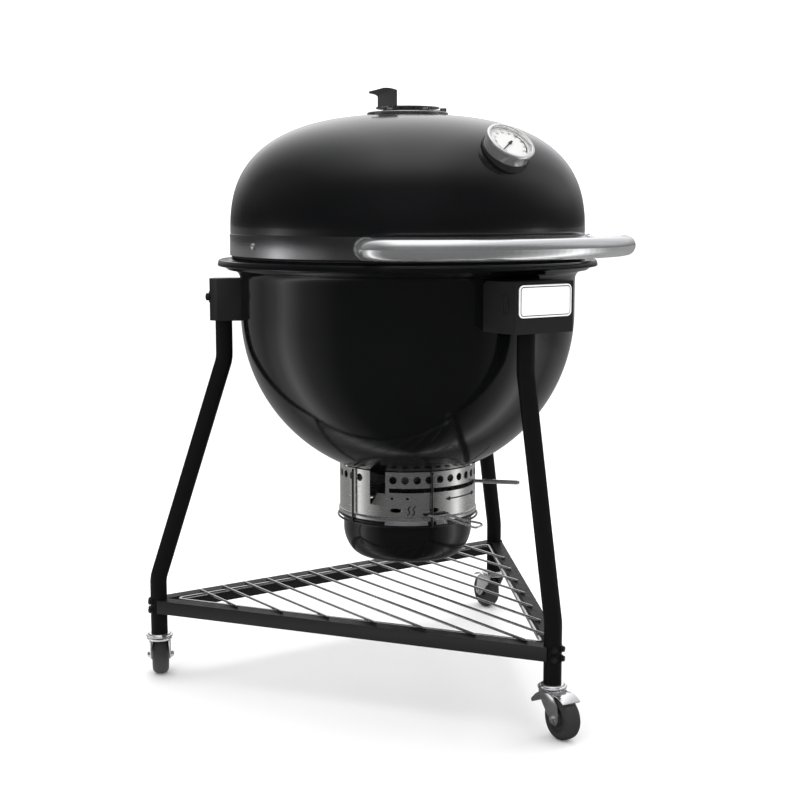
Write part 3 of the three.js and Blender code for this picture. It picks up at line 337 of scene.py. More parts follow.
rod_tree = Tree("bent rod", Radius="Float", Bend="Float", Bend_Steps="Int", Sides="Int")
rod_path = rod_tree.add("GeometryNodeMeshToCurve", {"Mesh": rod_tree.given["Geometry"]})[0]
rod_path = rod_tree.add("GeometryNodeFilletCurve", {"Curve": rod_path, "Count": rod_tree.given["Bend Steps"],
                        "Radius": rod_tree.given["Bend"], "Limit Radius": True}, mode="POLY")[0]
rod_section = rod_tree.add("GeometryNodeCurvePrimitiveCircle",
                           {"Radius": rod_tree.given["Radius"], "Resolution": rod_tree.given["Sides"]})[0]
rod_tree.finish(rod_tree.add("GeometryNodeCurveToMesh", {"Curve": rod_path, "Profile Curve": rod_section,
                                                         "Fill Caps": True})[0])


def rods(paths, radius, finish, bend=0.0, steps=8, sides=12):
    """Round rods or wires along paths, with their corners bent to a radius. Sizes in mm."""
    return grown(rod_tree, finish, wire_shape(*paths), Radius=radius / 1000, Bend=bend / 1000, Bend_Steps=steps,
                 Sides=sides)


grate_tree = Tree("grate rods", Rods="Int", Pitch="Float", Reach="Float", Rod_Radius="Float", Height="Float",
                  Middle="Vector")
g = grate_tree.given
half_row = grate_tree.math("MULTIPLY", grate_tree.math("MULTIPLY", grate_tree.math("SUBTRACT", g["Rods"], 1.0), 0.5),
                           g["Pitch"])
row_start = grate_tree.add("ShaderNodeCombineXYZ", {"X": grate_tree.math("MULTIPLY", half_row, -1.0)})[0]
row_step = grate_tree.add("ShaderNodeCombineXYZ", {"X": g["Pitch"]})[0]
row = grate_tree.add("GeometryNodeMeshLine", {"Count": g["Rods"], "Start Location": row_start, "Offset": row_step})[0]
rod_x = grate_tree.add("ShaderNodeSeparateXYZ", {0: grate_tree.add("GeometryNodeInputPosition")[0]})[0]
square = grate_tree.math("SUBTRACT", grate_tree.math("POWER", g["Reach"], 2.0),
                         grate_tree.math("POWER", grate_tree.math("ABSOLUTE", rod_x), 2.0))
rod_half = grate_tree.math("SQRT", grate_tree.math("MAXIMUM", square, 0.0))
rod_scale = grate_tree.add("ShaderNodeCombineXYZ", {"X": 1.0, "Y": rod_half, "Z": 1.0})[0]
plain_rod = grate_tree.add("GeometryNodeCurvePrimitiveLine", {"Start": (0, -1, 0), "End": (0, 1, 0)})[0]
round_rod = grate_tree.add("GeometryNodeCurvePrimitiveCircle", {"Radius": g["Rod Radius"], "Resolution": 8})[0]
plain_rod = grate_tree.add("GeometryNodeCurveToMesh", {"Curve": plain_rod, "Profile Curve": round_rod,
                                                       "Fill Caps": True})[0]
laid = grate_tree.add("GeometryNodeInstanceOnPoints", {"Points": row, "Instance": plain_rod, "Scale": rod_scale})[0]
lift = grate_tree.add("ShaderNodeCombineXYZ", {"Z": g["Height"]})[0]
lift = grate_tree.add("ShaderNodeVectorMath", {0: lift, 1: g["Middle"]}, operation="ADD")[0]
moved = grate_tree.add("GeometryNodeTransform", {"Geometry": laid, "Translation": lift})[0]
grate_tree.finish(grate_tree.join(moved, g["Geometry"]))

plated = surface("bright plated rod", (0.62, 0.62, 0.6), (0.4, 0.4, 0.39), 0.18, 0.36, 1.0, scale=60, bump=0.08,
                 bump_scale=300)
bare_steel = surface("bare grate steel", (0.2, 0.19, 0.18), (0.09, 0.085, 0.08), 0.4, 0.65, 1.0, scale=50, bump=0.3,
                     bump_scale=220)
STAYS_AT = 0.45
STAY_DROP = 1.9
for name, node, rod_radius, pitch, finish, slot in (
    ("cooking_grate_rods", "cooking_grate", 3.0, 15.0, plated, "brushed_steel"),
    ("charcoal_grate_rods", "charcoal_grate", 4.0, 24.0, bare_steel, "cast_iron"),
):
    grate_low, grate_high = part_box(node)
    grate_reach = (grate_high.x - grate_low.x) * 500 - rod_radius
    grate_z = (grate_low.z + grate_high.z) * 500
    stays = []
    for y in (-grate_reach * STAYS_AT, grate_reach * STAYS_AT):
        half_stay = math.sqrt(grate_reach**2 - y**2)
        stays.append([spot(x, y, grate_z - STAY_DROP * rod_radius) for x in (-half_stay, half_stay)])
    ring_and_stays = rods([hoop(grate_reach, grate_z)] + stays, rod_radius, finish, sides=10)
    count = 2 * int((grate_reach - rod_radius) / pitch) + 1
    grate_mesh = grown(grate_tree, finish, ring_and_stays, Rods=count, Pitch=pitch / 1000, Reach=grate_reach / 1000,
                       Rod_Radius=rod_radius / 1000, Height=grate_z / 1000, Middle=(kettle_x, kettle_y, 0))
    fitted(name, grate_mesh, None, "stand", slot, node, crease=50)


def refinish(finish, *names):
    """A CAD solid whose shape is right keeps it, and takes its real finish."""
    for name in names:
        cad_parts[name].data.materials.clear()
        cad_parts[name].data.materials.append(finish)


plate_steel = surface("brushed plate steel", (0.5, 0.5, 0.49), (0.3, 0.3, 0.29), 0.28, 0.45, 1.0, scale=30,
                      stretch=(1, 1, 12), bump=0.12, bump_scale=180)
refinish(plate_steel, "grate_support_front", "grate_support_left", "grate_support_right", "sweep_blades")


# Ash collar: a bright rolled steel band riveted under the bowl, with a bright lip round its lower edge.
# It has a row of air holes, a slot for the damper lever, a notch with a tab, two dots and two oval ports.
# Plain signs are printed on its front: a wave and a double arrow.
collar_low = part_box("ash_collar")[0]
COLLAR = 133.5
COLLAR_FOOT = collar_low.z * 1000
COLLAR_HEAD = COLLAR_FOOT + 95.6
HOLE_Z = COLLAR_FOOT + 80
HOLE = 7.3
HOLE_SPACING = 9.9
FRONT_HOLES, REAR_HOLES = (-47.73, 20), (152.27, 14)
DOT, DOT_Z, FIRST_DOT, DOT_SPACING = 2.5, COLLAR_FOOT + 45, -48.6, 12.7
NOTCH = (-68.3, -54.2)
LEVER_SLOT = (-51, 46)
PORT_Z = COLLAR_FOOT + 22
LEVER_Z = (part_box("damper_lever")[0].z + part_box("damper_lever")[1].z) * 500
axis_point = (kettle_x, kettle_y, 0)
collar_steel = surface("rolled collar steel", (0.74, 0.74, 0.73), (0.6, 0.6, 0.59), 0.16, 0.28, 0.94, scale=4,
                       stretch=(1.2, 1, 160), bump=0.05, bump_scale=9, round_axis=axis_point)
band_bright = surface("bright rolled edge", (0.86, 0.86, 0.86), (0.78, 0.78, 0.78), 0.12, 0.2, 1.0, scale=5,
                      stretch=(1.2, 1, 90), bump=0.04, bump_scale=9, round_axis=axis_point)


def merged(*shapes):
    """Several meshes as one, in one material."""
    work = bmesh.new()
    for shape in shapes:
        work.from_mesh(shape)
    for face in work.faces:
        face.material_index = 0
    return as_mesh(work, "merged")


def wedge(inner, outer, start, end, low, high, steps=12, place=None):
    """A solid sector of a ring between two angles from the front."""
    work = bmesh.new()
    place = place or Matrix.Translation((kettle_x, kettle_y, 0))
    slices = []
    for i in range(steps + 1):
        turn = math.radians(start + (end - start) * i / steps)
        slices.append([
            work.verts.new(place @ Vector((r * math.sin(turn) / 1000, -r * math.cos(turn) / 1000, z / 1000)))
            for r, z in ((inner, low), (outer, low), (outer, high), (inner, high))
        ])
    for a, b in zip(slices, slices[1:]):
        for k in range(4):
            work.faces.new((a[k], b[k], b[(k + 1) % 4], a[(k + 1) % 4]))
    work.faces.new(slices[0])
    work.faces.new(slices[-1][::-1])
    bmesh.ops.recalc_face_normals(work, faces=work.faces)
    return as_mesh(work, "wedge")


def cut(shape, *cutters):
    """The mesh with other meshes cut out of it."""
    for cutter in cutters:
        tool = placed("cutter", cutter)
        shape = changed(shape, "BOOLEAN", operation="DIFFERENCE", solver="EXACT", object=tool)
        bpy.data.objects.remove(tool)
    return shape


def arc(radius, start, end, z, steps=24):
    return [round_spot(radius, start + (end - start) * i / steps, z) for i in range(steps + 1)]


hole_tree = Tree("row of holes", Holes="Int", First="Float", Spacing="Float", Reach="Float", Height="Float",
                 Hole_Radius="Float", Middle="Vector")
h = hole_tree.given
hole_points = hole_tree.add("GeometryNodePoints", {"Count": h["Holes"]})[0]
hole_number = hole_tree.add("GeometryNodeInputIndex")[0]
hole_turn = hole_tree.math("ADD", hole_tree.math("MULTIPLY", hole_number, h["Spacing"]), h["First"])
hole_side = hole_tree.math("MULTIPLY", hole_tree.math("SINE", hole_turn), h["Reach"])
hole_front = hole_tree.math("MULTIPLY", hole_tree.math("MULTIPLY", hole_tree.math("COSINE", hole_turn), h["Reach"]),
                            -1.0)
hole_place = hole_tree.add("ShaderNodeCombineXYZ", {"X": hole_side, "Y": hole_front, "Z": h["Height"]})[0]
hole_place = hole_tree.add("ShaderNodeVectorMath", {0: hole_place, 1: h["Middle"]}, operation="ADD")[0]
hole_points = hole_tree.add("GeometryNodeSetPosition", {"Geometry": hole_points, "Position": hole_place})[0]
hole_facing = hole_tree.add("ShaderNodeCombineXYZ", {"X": math.pi / 2, "Z": hole_turn})[0]
PUNCH_LENGTH = 0.016
punch = hole_tree.add("GeometryNodeMeshCylinder",
                      {"Vertices": 20, "Radius": h["Hole Radius"], "Depth": PUNCH_LENGTH})[0]
punches = hole_tree.add("GeometryNodeInstanceOnPoints", {"Points": hole_points, "Instance": punch,
                                                         "Rotation": hole_facing})[0]
punches = hole_tree.add("GeometryNodeRealizeInstances", {0: punches})[0]
punched = hole_tree.add("GeometryNodeMeshBoolean", {"Mesh 1": h["Geometry"], "Mesh 2": punches}, operation="DIFFERENCE",
                        solver="EXACT")[0]
hole_tree.finish(punched)


def port(angle, half_long, z):
    """A cutter for a pointed oval port in an upright wall."""
    half_tall = 4.3
    shape = [(half_tall * (1 - t * t) ** 0.8, half_long * t) for t in [i / 6 for i in range(-6, 7)]]
    turn = math.radians(angle)
    facing = Matrix.Translation(round_spot(COLLAR, angle, z)) @ Matrix.Rotation(turn, 4, "Z")
    lie = facing @ Matrix.Rotation(math.pi / 2, 4, "Y")
    return turned(shape, 20, place=lie)


collar_mesh = turned([
    (COLLAR - 2, COLLAR_FOOT), (COLLAR + 1.4, COLLAR_FOOT), (COLLAR + 2, COLLAR_FOOT + 0.6),
    (COLLAR + 2, COLLAR_FOOT + 6.5),
    (COLLAR + 1.5, COLLAR_FOOT + 7.8), (COLLAR, COLLAR_FOOT + 9), (COLLAR, COLLAR_HEAD),
    (COLLAR - 2, COLLAR_HEAD - 0.7),
], 180, closed=True)
collar_mesh = cut(
    collar_mesh,
    changed(wedge(COLLAR - 9, COLLAR + 7, *NOTCH, COLLAR_FOOT + 31, COLLAR_HEAD + 20), "BEVEL", width=0.004,
            segments=4),
    rods([arc(COLLAR, *LEVER_SLOT, LEVER_Z)], 4.4, collar_steel, sides=16),
    port(-45.6, 14.5, PORT_Z),
    port(-13.4, 12.0, PORT_Z),
)
for first, count, spacing, hole, z in (
    (FRONT_HOLES[0], FRONT_HOLES[1], HOLE_SPACING, HOLE, HOLE_Z),
    (REAR_HOLES[0], REAR_HOLES[1], HOLE_SPACING, HOLE, HOLE_Z),
    (FIRST_DOT, 2, DOT_SPACING, DOT, DOT_Z),
):
    collar_mesh = grown(hole_tree, collar_steel, collar_mesh, Holes=count, First=math.radians(first),
                        Spacing=math.radians(spacing), Reach=COLLAR / 1000, Height=z / 1000, Hole_Radius=hole / 1000,
                        Middle=axis_point)
fitted("collar", collar_mesh, None, "stand", "brushed_steel", "ash_collar", crease=30)


def sloped(start, end, low, high, thick=0.6, steps=16):
    """A thin plate that follows the collar between two angles, and leans from one reach and height to another."""
    shape = wedge(0, 1, start, end, 0, 1, steps)
    corners = (low, (low[0] + thick, low[1]), (high[0] + thick, high[1]), high)
    for i, corner in enumerate(shape.vertices):
        reach, z = corners[i % 4]
        corner.co = round_spot(reach, start + (end - start) * (i // 4) / steps, z)
    return shape


lips = [sloped(start, end, (COLLAR + 6.2, COLLAR_FOOT - 5.4), (COLLAR + 2.3, COLLAR_FOOT + 2.2)) for start,
        end in ((-54, -19.6), (-12.6, -3))]
tab = sloped(-68, -54.5, (COLLAR - 2.8, COLLAR_FOOT + 27), (COLLAR - 15, COLLAR_FOOT + 51))
fitted("collar_lip", merged(*lips, tab), band_bright, "stand", "brushed_steel")

sign_black = surface("printed black sign", (0.02, 0.02, 0.02), (0.01, 0.01, 0.01), 0.5, 0.6, scale=80, bump=0.05)
ARROW_Z, WAVE_Z = COLLAR_FOOT + 41, COLLAR_FOOT + 13
sign_wires = [arc(COLLAR, -1, 34, ARROW_Z, 12)]
for tip, away in ((-2, 3.6), (35.5, -3.6)):
    for rise in (-2.6, 0, 2.6):
        sign_wires.append([round_spot(COLLAR, tip, ARROW_Z), round_spot(COLLAR, tip + away, ARROW_Z + rise)])
for start in (-36.2, -32.0):
    sign_wires.append([round_spot(COLLAR, start + 2.8 * t + 1.1 * math.sin(2 * math.pi * t), WAVE_Z + 18 * t)
                       for t in [i / 12 for i in range(13)]])
fitted("collar_signs", rods(sign_wires, 1.35, sign_black, sides=8), None, "stand", "black_plastic", crease=60)


# Damper lever: a chromed steel rod with a thicker grip, fixed across the blades' shaft.
# It is pressed flatter where it comes out through the collar's slot.
chrome = surface("chrome plate", (0.88, 0.88, 0.89), (0.8, 0.8, 0.81), 0.05, 0.12, 0.92, scale=25, bump=0.02,
                 bump_scale=200)
LEVER_TURN = 42
refinish(chrome, "damper_lever")
LEVER_FLAT_TO, LEVER_FLATNESS = 148, 0.62
lever_way = [round_spot(r, LEVER_TURN, LEVER_Z) for r in (16, 130, 139, 150, 222)]
lever_mesh = rods([lever_way], 3.4, chrome, sides=20)
for corner in lever_mesh.vertices:
    out = (corner.co - spot(0, 0, LEVER_Z)).length * 1000
    squeeze = 1.0 if out > LEVER_FLAT_TO else LEVER_FLATNESS
    corner.co.z = LEVER_Z / 1000 + (corner.co.z - LEVER_Z / 1000) * squeeze
grip_mesh = rods([[round_spot(r, LEVER_TURN, LEVER_Z) for r in (152, 220)]], 4.3, chrome, sides=24)
grip_mesh = changed(grip_mesh, "BEVEL", width=0.0018, segments=3)
fitted("lever_rod", lever_mesh, chrome, "ash_damper", "chrome", crease=40)
fitted("lever_grip", grip_mesh, chrome, "ash_damper", "chrome", crease=40)


# Ash pot: a deep enamelled pan under the collar, held by a chrome wire cage whose four wires clip over the collar.
# A folded wire handle swings on the cage to pull the pot off and empty it.
POT = 126
POT_TOP = COLLAR_FOOT - 1.5
POT_FLOOR = POT_TOP - 86
POT_SHEET = 2.5
POT_CORNER = 54
pot_enamel = surface("pot enamel", (0.0042, 0.0041, 0.0043), (0.0032, 0.0031, 0.0033), 0.12, 0.2, scale=12, bump=0.05,
                     bump_scale=80, Specular_IOR_Level=0.38, Coat_Weight=0.1, Coat_Roughness=0.05)
pot_corner = [(POT * (1 - 0.3 * (1 - math.cos(t)) ** 0.9), POT_FLOOR + POT_CORNER * (1 - math.sin(t)))
              for t in [math.pi / 2 * i / 22 for i in range(23)]]
pot_profile = [(0, POT_FLOOR), (60, POT_FLOOR), (80, POT_FLOOR + 0.2)] + pot_corner[::-1] + [
    (POT, POT_TOP - 20), (POT, POT_TOP - 7), (POT + 1, POT_TOP - 5), (POT + 3, POT_TOP - 4.4),
    (COLLAR + 0.6, POT_TOP - 4.2),
    (COLLAR + 2, POT_TOP - 3), (COLLAR + 2, POT_TOP - 1.2), (COLLAR + 1, POT_TOP), (POT - 1.5, POT_TOP),
    (POT - POT_SHEET, POT_TOP - 1),
    (POT - POT_SHEET, POT_TOP - 20),
] + [(max(r - POT_SHEET, 0), z + POT_SHEET) for r, z in pot_corner] + [(80, POT_FLOOR + 2.7),
                                                                       (0, POT_FLOOR + POT_SHEET)]
fitted("ash_pan", turned(pot_profile, 112), pot_enamel, "pot", "black_enamel", "ash_pot")
CAGE = COLLAR + 5
CAGE_WIRE = 2.2
CAGE_Z = POT_TOP - 4.8 - CAGE_WIRE
HANDLE_Z = CAGE_Z + 23
UPRIGHTS = (-16, -85, 95, 164)
cage_wires = [hoop(CAGE - 1.8, CAGE_Z)]
for angle in UPRIGHTS:
    cage_wires.append([round_spot(CAGE - 1, angle, CAGE_Z), round_spot(CAGE, angle, CAGE_Z + 6),
                       round_spot(CAGE, angle, COLLAR_HEAD - 4),
                       round_spot(CAGE - 1.5, angle, COLLAR_HEAD - 1)])
cage_wires.append([round_spot(CAGE, a, HANDLE_Z) for a in (-23, -20, -16, -12, -9, -5, -2)])
dark_wire = surface("dark drawn wire", (0.16, 0.16, 0.165), (0.09, 0.09, 0.095), 0.12, 0.22, 1.0, scale=50, bump=0.04,
                    bump_scale=400)
fitted("pot_cage_wires", rods(cage_wires, CAGE_WIRE, dark_wire, bend=3, sides=12), None, "pot", "chrome", "pot_cage",
       crease=60)
grip_away = Vector((0.62, -0.77, -0.2)) / 1000
grip_root = CAGE + 2 * CAGE_WIRE + 1.1
grip_a, grip_b = round_spot(grip_root, -20, HANDLE_Z), round_spot(grip_root, -5, HANDLE_Z)
grip_path = [grip_a, grip_a + grip_away * 40 + Vector((0, 0, 0.004)), grip_a + grip_away * 92, grip_b + grip_away * 78,
             grip_b + grip_away * 34 - Vector((0, 0, 0.003)), grip_b]
fitted("pot_handle_wire", rods([grip_path], CAGE_WIRE, chrome, bend=8, sides=12), None, "pot_grip", "chrome",
       "pot_handle", crease=60)


# Legs: three round steel tubes, bent cold and powder coated black.
# Each stands upright on its caster, leans in, and is upright again where it is clamped in its bracket.
coat = surface("black powder coat", (0.0062, 0.0059, 0.0062), (0.005, 0.0048, 0.005), 0.34, 0.44, scale=60, bump=0.12,
               bump_scale=900, wear=(0.03, 0.03, 0.03), wear_at=0.58, Specular_IOR_Level=0.06)
LEG = 16.1
LEG_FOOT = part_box("leg_front")[0].z * 1000
LEG_TOP_REACH = BOWL + 32.5
FEET = {"front": (436.2, 0.0, -6.0), "left": (490.8, -120.4, 152.0), "right": (490.8, 120.4, 172.0)}
LOWER_BEND, UPPER_BEND = 202, RIM - 175
for name, (reach, angle, _) in FEET.items():
    way = [round_spot(reach, angle, LEG_FOOT), round_spot(reach, angle, LOWER_BEND),
           round_spot(LEG_TOP_REACH, angle, UPPER_BEND), round_spot(LEG_TOP_REACH, angle, RIM - 27)]
    fitted(f"leg_tube_{name}", rods([way], LEG, coat, bend=70, steps=14, sides=40), None, "stand", "powder_coat",
           f"leg_{name}")


# Brackets: pressed steel boxes, powder coated black and bolted to the bowl, which hold the legs' tops.
# The front one is wider, with a recess in its side, and carries a blank white plate with a black line round it.
def softened(name, finish, width, segments=3):
    """A CAD solid that keeps its shape, with its sharp edges rounded, and takes its real finish."""
    refinish(finish, name)
    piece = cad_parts[name]
    bevel = piece.modifiers.new("rounded edges", "BEVEL")
    bevel.width, bevel.segments = width / 1000, segments
    bevel.limit_method, bevel.angle_limit = "ANGLE", math.radians(40)
    bevel.harden_normals = False


for name in ("bracket_left", "bracket_right"):
    softened(name, coat, 2.2)
softened("bracket_front", coat, 3.5)

bolt_tree = Tree("bolt heads", Head_Radius="Float", Head_Height="Float", Sides="Int", Washer_Radius="Float")
b = bolt_tree.given
facing = bolt_tree.add("GeometryNodeInputNamedAttribute", {"Name": "facing"}, data_type="FLOAT_VECTOR")[0]
bolt_turn = bolt_tree.add("FunctionNodeAlignRotationToVector", {"Vector": facing}, axis="Z")[0]
head = bolt_tree.add("GeometryNodeMeshCylinder", {"Vertices": b["Sides"], "Radius": b["Head Radius"],
                                                  "Depth": b["Head Height"]})[0]
head_rise = bolt_tree.add("ShaderNodeCombineXYZ",
                          {"Z": bolt_tree.math("ADD", bolt_tree.math("MULTIPLY", b["Head Height"], 0.5), 0.0012)})[0]
head = bolt_tree.add("GeometryNodeTransform", {"Geometry": head, "Translation": head_rise})[0]
crown = bolt_tree.add("GeometryNodeMeshUVSphere", {"Segments": 16, "Rings": 8, "Radius": b["Head Radius"]})[0]
crown_rise = bolt_tree.add("ShaderNodeCombineXYZ", {"Z": bolt_tree.math("ADD", b["Head Height"], 0.0006)})[0]
crown = bolt_tree.add("GeometryNodeTransform", {"Geometry": crown, "Translation": crown_rise,
                                                "Scale": (0.86, 0.86, 0.32)})[0]
washer = bolt_tree.add("GeometryNodeMeshCylinder", {"Vertices": 24, "Radius": b["Washer Radius"], "Depth": 0.0014})[0]
washer = bolt_tree.add("GeometryNodeTransform", {"Geometry": washer, "Translation": (0, 0, 0.0007)})[0]
bolt_shape = bolt_tree.join(head, crown, washer)
bolts_set = bolt_tree.add("GeometryNodeInstanceOnPoints", {"Points": b["Geometry"], "Instance": bolt_shape,
                                                           "Rotation": bolt_turn})[0]
bolt_tree.finish(bolts_set)


def bolts(places, radius, height, finish, sides=6, washer=None):
    """Bolt heads standing on a surface: each place is a point and the direction the head faces. Sizes in mm."""
    shape = bpy.data.meshes.new("bolt places")
    shape.from_pydata([point for point, _ in places], [], [])
    facings = shape.attributes.new("facing", "FLOAT_VECTOR", "POINT")
    for i, (_, way) in enumerate(places):
        facings.data[i].vector = way
    return grown(bolt_tree, finish, shape, Head_Radius=radius / 1000, Head_Height=height / 1000, Sides=sides,
                 Washer_Radius=(washer or radius * 1.35) / 1000)


def outward(angle):
    turn = math.radians(angle)
    return Vector((math.sin(turn), -math.cos(turn), 0))


BRACKET_FACE = LEG_TOP_REACH + 26.2
bolt_black = surface("blackened bolt", (0.03, 0.03, 0.031), (0.015, 0.015, 0.016), 0.25, 0.4, 0.6, scale=120, bump=0.05)
for name, angle in (("left", -120), ("right", 120)):
    low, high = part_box(f"bracket_bolt_{name}")
    face = round_spot(BRACKET_FACE, angle, (low.z + high.z) * 500)
    fitted(f"bracket_bolt_head_{name}", bolts([(face, outward(angle))], 8, 5, bolt_black), None, "stand", "chrome",
           f"bracket_bolt_{name}")

plate_low, plate_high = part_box("badge_plate")
PLATE_ROUND = 9
white_plate = surface("satin white plate", (0.88, 0.88, 0.88), (0.84, 0.84, 0.84), 0.3, 0.38, 0.0, scale=90, bump=0.02,
                      bump_scale=500)


def slab(near_points, far_points):
    """A solid between two matching outlines."""
    work = bmesh.new()
    near = [work.verts.new(point) for point in near_points]
    far = [work.verts.new(point) for point in far_points]
    work.faces.new(near)
    work.faces.new(far[::-1])
    for i in range(len(near)):
        j = (i + 1) % len(near)
        work.faces.new((near[j], near[i], far[i], far[j]))
    bmesh.ops.recalc_face_normals(work, faces=work.faces)
    return as_mesh(work, "slab")


def rounded_plate(name, finish, slot, shrink, front, back, corner, *replaced):
    """A thin upright plate with round corners, facing the front."""
    middle_x, middle_z = (plate_low.x + plate_high.x) * 500, (plate_low.z + plate_high.z) * 500
    half_x, half_z = (plate_high.x - plate_low.x) * 500 - shrink, (plate_high.z - plate_low.z) * 500 - shrink
    edge = []
    for sx, sz, start in ((1, -1, -90), (1, 1, 0), (-1, 1, 90), (-1, -1, 180)):
        for i in range(9):
            turn = math.radians(start + 90 * i / 8)
            x = middle_x + sx * (half_x - corner) + corner * math.cos(turn)
            z = middle_z + sz * (half_z - corner) + corner * math.sin(turn)
            edge.append((x / 1000, z / 1000))
    shape = slab([(x, front, z) for x, z in edge], [(x, back, z) for x, z in edge])
    shape = changed(shape, "BEVEL", width=0.0004, segments=2, limit_method="ANGLE")
    fitted(name, shape, finish, "stand", slot, *replaced)


side_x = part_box("bracket_front")[0].x
recess_y, recess_z = plate_high.y + 0.027, (plate_low.z + plate_high.z) / 2 - 0.003
recess_corners = ((-7, -17), (7, -17), (7, 14), (-3, 17), (-7, 12), (-7, -17))
recess_rim = [Vector((side_x, recess_y + y / 1000, recess_z + z / 1000)) for y, z in recess_corners]
fitted("bracket_recess_rim", rods([recess_rim], 1.5, bolt_black, bend=4, sides=12), None, "stand", "powder_coat",
       crease=60)

rounded_plate("blank_plate", white_plate, "polished_steel", 0, plate_low.y, plate_high.y, PLATE_ROUND, "badge_plate")
rounded_plate("blank_plate_line", sign_black, "black_plastic", 2.6, plate_low.y - 0.00025, plate_high.y - 0.001,
              PLATE_ROUND - 2.4)
rounded_plate("blank_plate_face", white_plate, "polished_steel", 4.2, plate_low.y - 0.0005, plate_high.y - 0.001,
              PLATE_ROUND - 4)


# Shelf frame: three square steel tubes between the legs, powder coated black.
# Two blackened bolts through each leg, one over the other, hold each tube's end.
for name in ("frame_bar_left", "frame_bar_right", "frame_bar_rear"):
    softened(name, coat, 2.4)
FRAME_BOLTS_Z = (138.5, 155.5)
frame_bolts = []
for name, (reach, angle, _) in FEET.items():
    foot = round_spot(reach, angle, 0)
    for other, (far_reach, far_angle, _) in FEET.items():
        if other == name:
            continue
        away = (foot - round_spot(far_reach, far_angle, 0)).normalized()
        for z in FRAME_BOLTS_Z:
            frame_bolts.append((foot + away * (LEG + 0.1) / 1000 + Vector((0, 0, z / 1000)), away))
fitted("frame_bolts", bolts(frame_bolts, 5.2, 4.2, bolt_black, washer=6.6), None, "stand", "powder_coat")


# Shelf rack: bright wires side by side, welded on an edge wire that lies just inside the frame's three tubes.
# Each cross wire runs from the back tube over a front one, and ends on it in a small round button.
rack_low, rack_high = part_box("shelf_rack")
RACK_WIRE = 2.5
RACK_Z = rack_high.z * 1000 - RACK_WIRE
RACK_PITCH = 51
rack_tree = Tree("rack wires", Wires="Int", Pitch="Float", Wire_Radius="Float", Front="Float", Slope="Float",
                 Back="Float", Height="Float", Middle="Vector")
k = rack_tree.given
rack_half = rack_tree.math("MULTIPLY", rack_tree.math("MULTIPLY", rack_tree.math("SUBTRACT", k["Wires"], 1.0), 0.5),
                           k["Pitch"])
rack_start = rack_tree.add("ShaderNodeCombineXYZ", {"X": rack_tree.math("MULTIPLY", rack_half, -1.0), "Y": k["Back"],
                                                    "Z": k["Height"]})[0]
rack_step = rack_tree.add("ShaderNodeCombineXYZ", {"X": k["Pitch"]})[0]
rack_row = rack_tree.add("GeometryNodeMeshLine", {"Count": k["Wires"], "Start Location": rack_start,
                                                  "Offset": rack_step})[0]
rack_x = rack_tree.add("ShaderNodeSeparateXYZ", {0: rack_tree.add("GeometryNodeInputPosition")[0]})[0]
rack_near = rack_tree.math("ADD", rack_tree.math("MULTIPLY", rack_tree.math("ABSOLUTE", rack_x), k["Slope"]),
                           k["Front"])
rack_length = rack_tree.math("SUBTRACT", k["Back"], rack_near)
rack_scale = rack_tree.add("ShaderNodeCombineXYZ", {"X": 1.0, "Y": rack_length, "Z": 1.0})[0]
rack_line = rack_tree.add("GeometryNodeCurvePrimitiveLine", {"Start": (0, -1, 0), "End": (0, 0, 0)})[0]
rack_round = rack_tree.add("GeometryNodeCurvePrimitiveCircle", {"Radius": k["Wire Radius"], "Resolution": 12})[0]
rack_rod = rack_tree.add("GeometryNodeCurveToMesh", {"Curve": rack_line, "Profile Curve": rack_round,
                                                     "Fill Caps": True})[0]
rack_laid = rack_tree.add("GeometryNodeInstanceOnPoints", {"Points": rack_row, "Instance": rack_rod,
                                                           "Scale": rack_scale})[0]
button = rack_tree.add("GeometryNodeMeshUVSphere",
                       {"Segments": 12, "Rings": 8, "Radius": rack_tree.math("MULTIPLY", k["Wire Radius"], 1.05)})[0]
button_ends = rack_tree.add("ShaderNodeCombineXYZ", {"Y": rack_tree.math("MULTIPLY", rack_length, -1.0)})[0]
button_row = rack_tree.add("GeometryNodeSetPosition", {"Geometry": rack_row, "Offset": button_ends})[0]
buttons = rack_tree.add("GeometryNodeInstanceOnPoints", {"Points": button_row, "Instance": button})[0]
rack_all = rack_tree.join(rack_laid, buttons)
rack_all = rack_tree.add("GeometryNodeTransform", {"Geometry": rack_all, "Translation": k["Middle"]})[0]
rack_tree.finish(rack_tree.join(rack_all, k["Geometry"]))

front_foot, left_foot, right_foot = (round_spot(FEET[n][0], FEET[n][1], 0) for n in ("front", "left", "right"))
rack_slope = (right_foot.y - front_foot.y) / (right_foot.x - front_foot.x)
EDGE_WIRE = 3.25
edge_z = (rack_low.z * 1000) + EDGE_WIRE
EDGE_INSET = 15.5
feet_round = (front_foot, right_foot, left_foot)
corners = []
for i, here in enumerate(feet_round):
    to_next, to_last = (feet_round[(i + 1) % 3] - here).normalized(), (feet_round[i - 1] - here).normalized()
    half = to_next.angle(to_last) / 2
    inward = (to_next + to_last).normalized()
    point = here + inward * (EDGE_INSET / 1000) / math.sin(half)
    corners.append(Vector((point.x, point.y, edge_z / 1000)))
rack_chrome = surface("bright rack wire", (0.72, 0.72, 0.73), (0.55, 0.55, 0.56), 0.16, 0.28, 1.0, scale=60, bump=0.05,
                      bump_scale=500)
edge_mesh = rods([corners + [corners[0]]], EDGE_WIRE, rack_chrome, bend=9, sides=14)
RACK_WIRES = 14
rack_mesh = grown(rack_tree, rack_chrome, edge_mesh, Wires=RACK_WIRES, Pitch=RACK_PITCH / 1000,
                  Wire_Radius=RACK_WIRE / 1000,
                  Front=front_foot.y - kettle_y, Slope=rack_slope, Back=right_foot.y - kettle_y, Height=RACK_Z / 1000,
                  Middle=axis_point)
fitted("shelf_wires", rack_mesh, None, "stand", "chrome", "shelf_rack", crease=60)


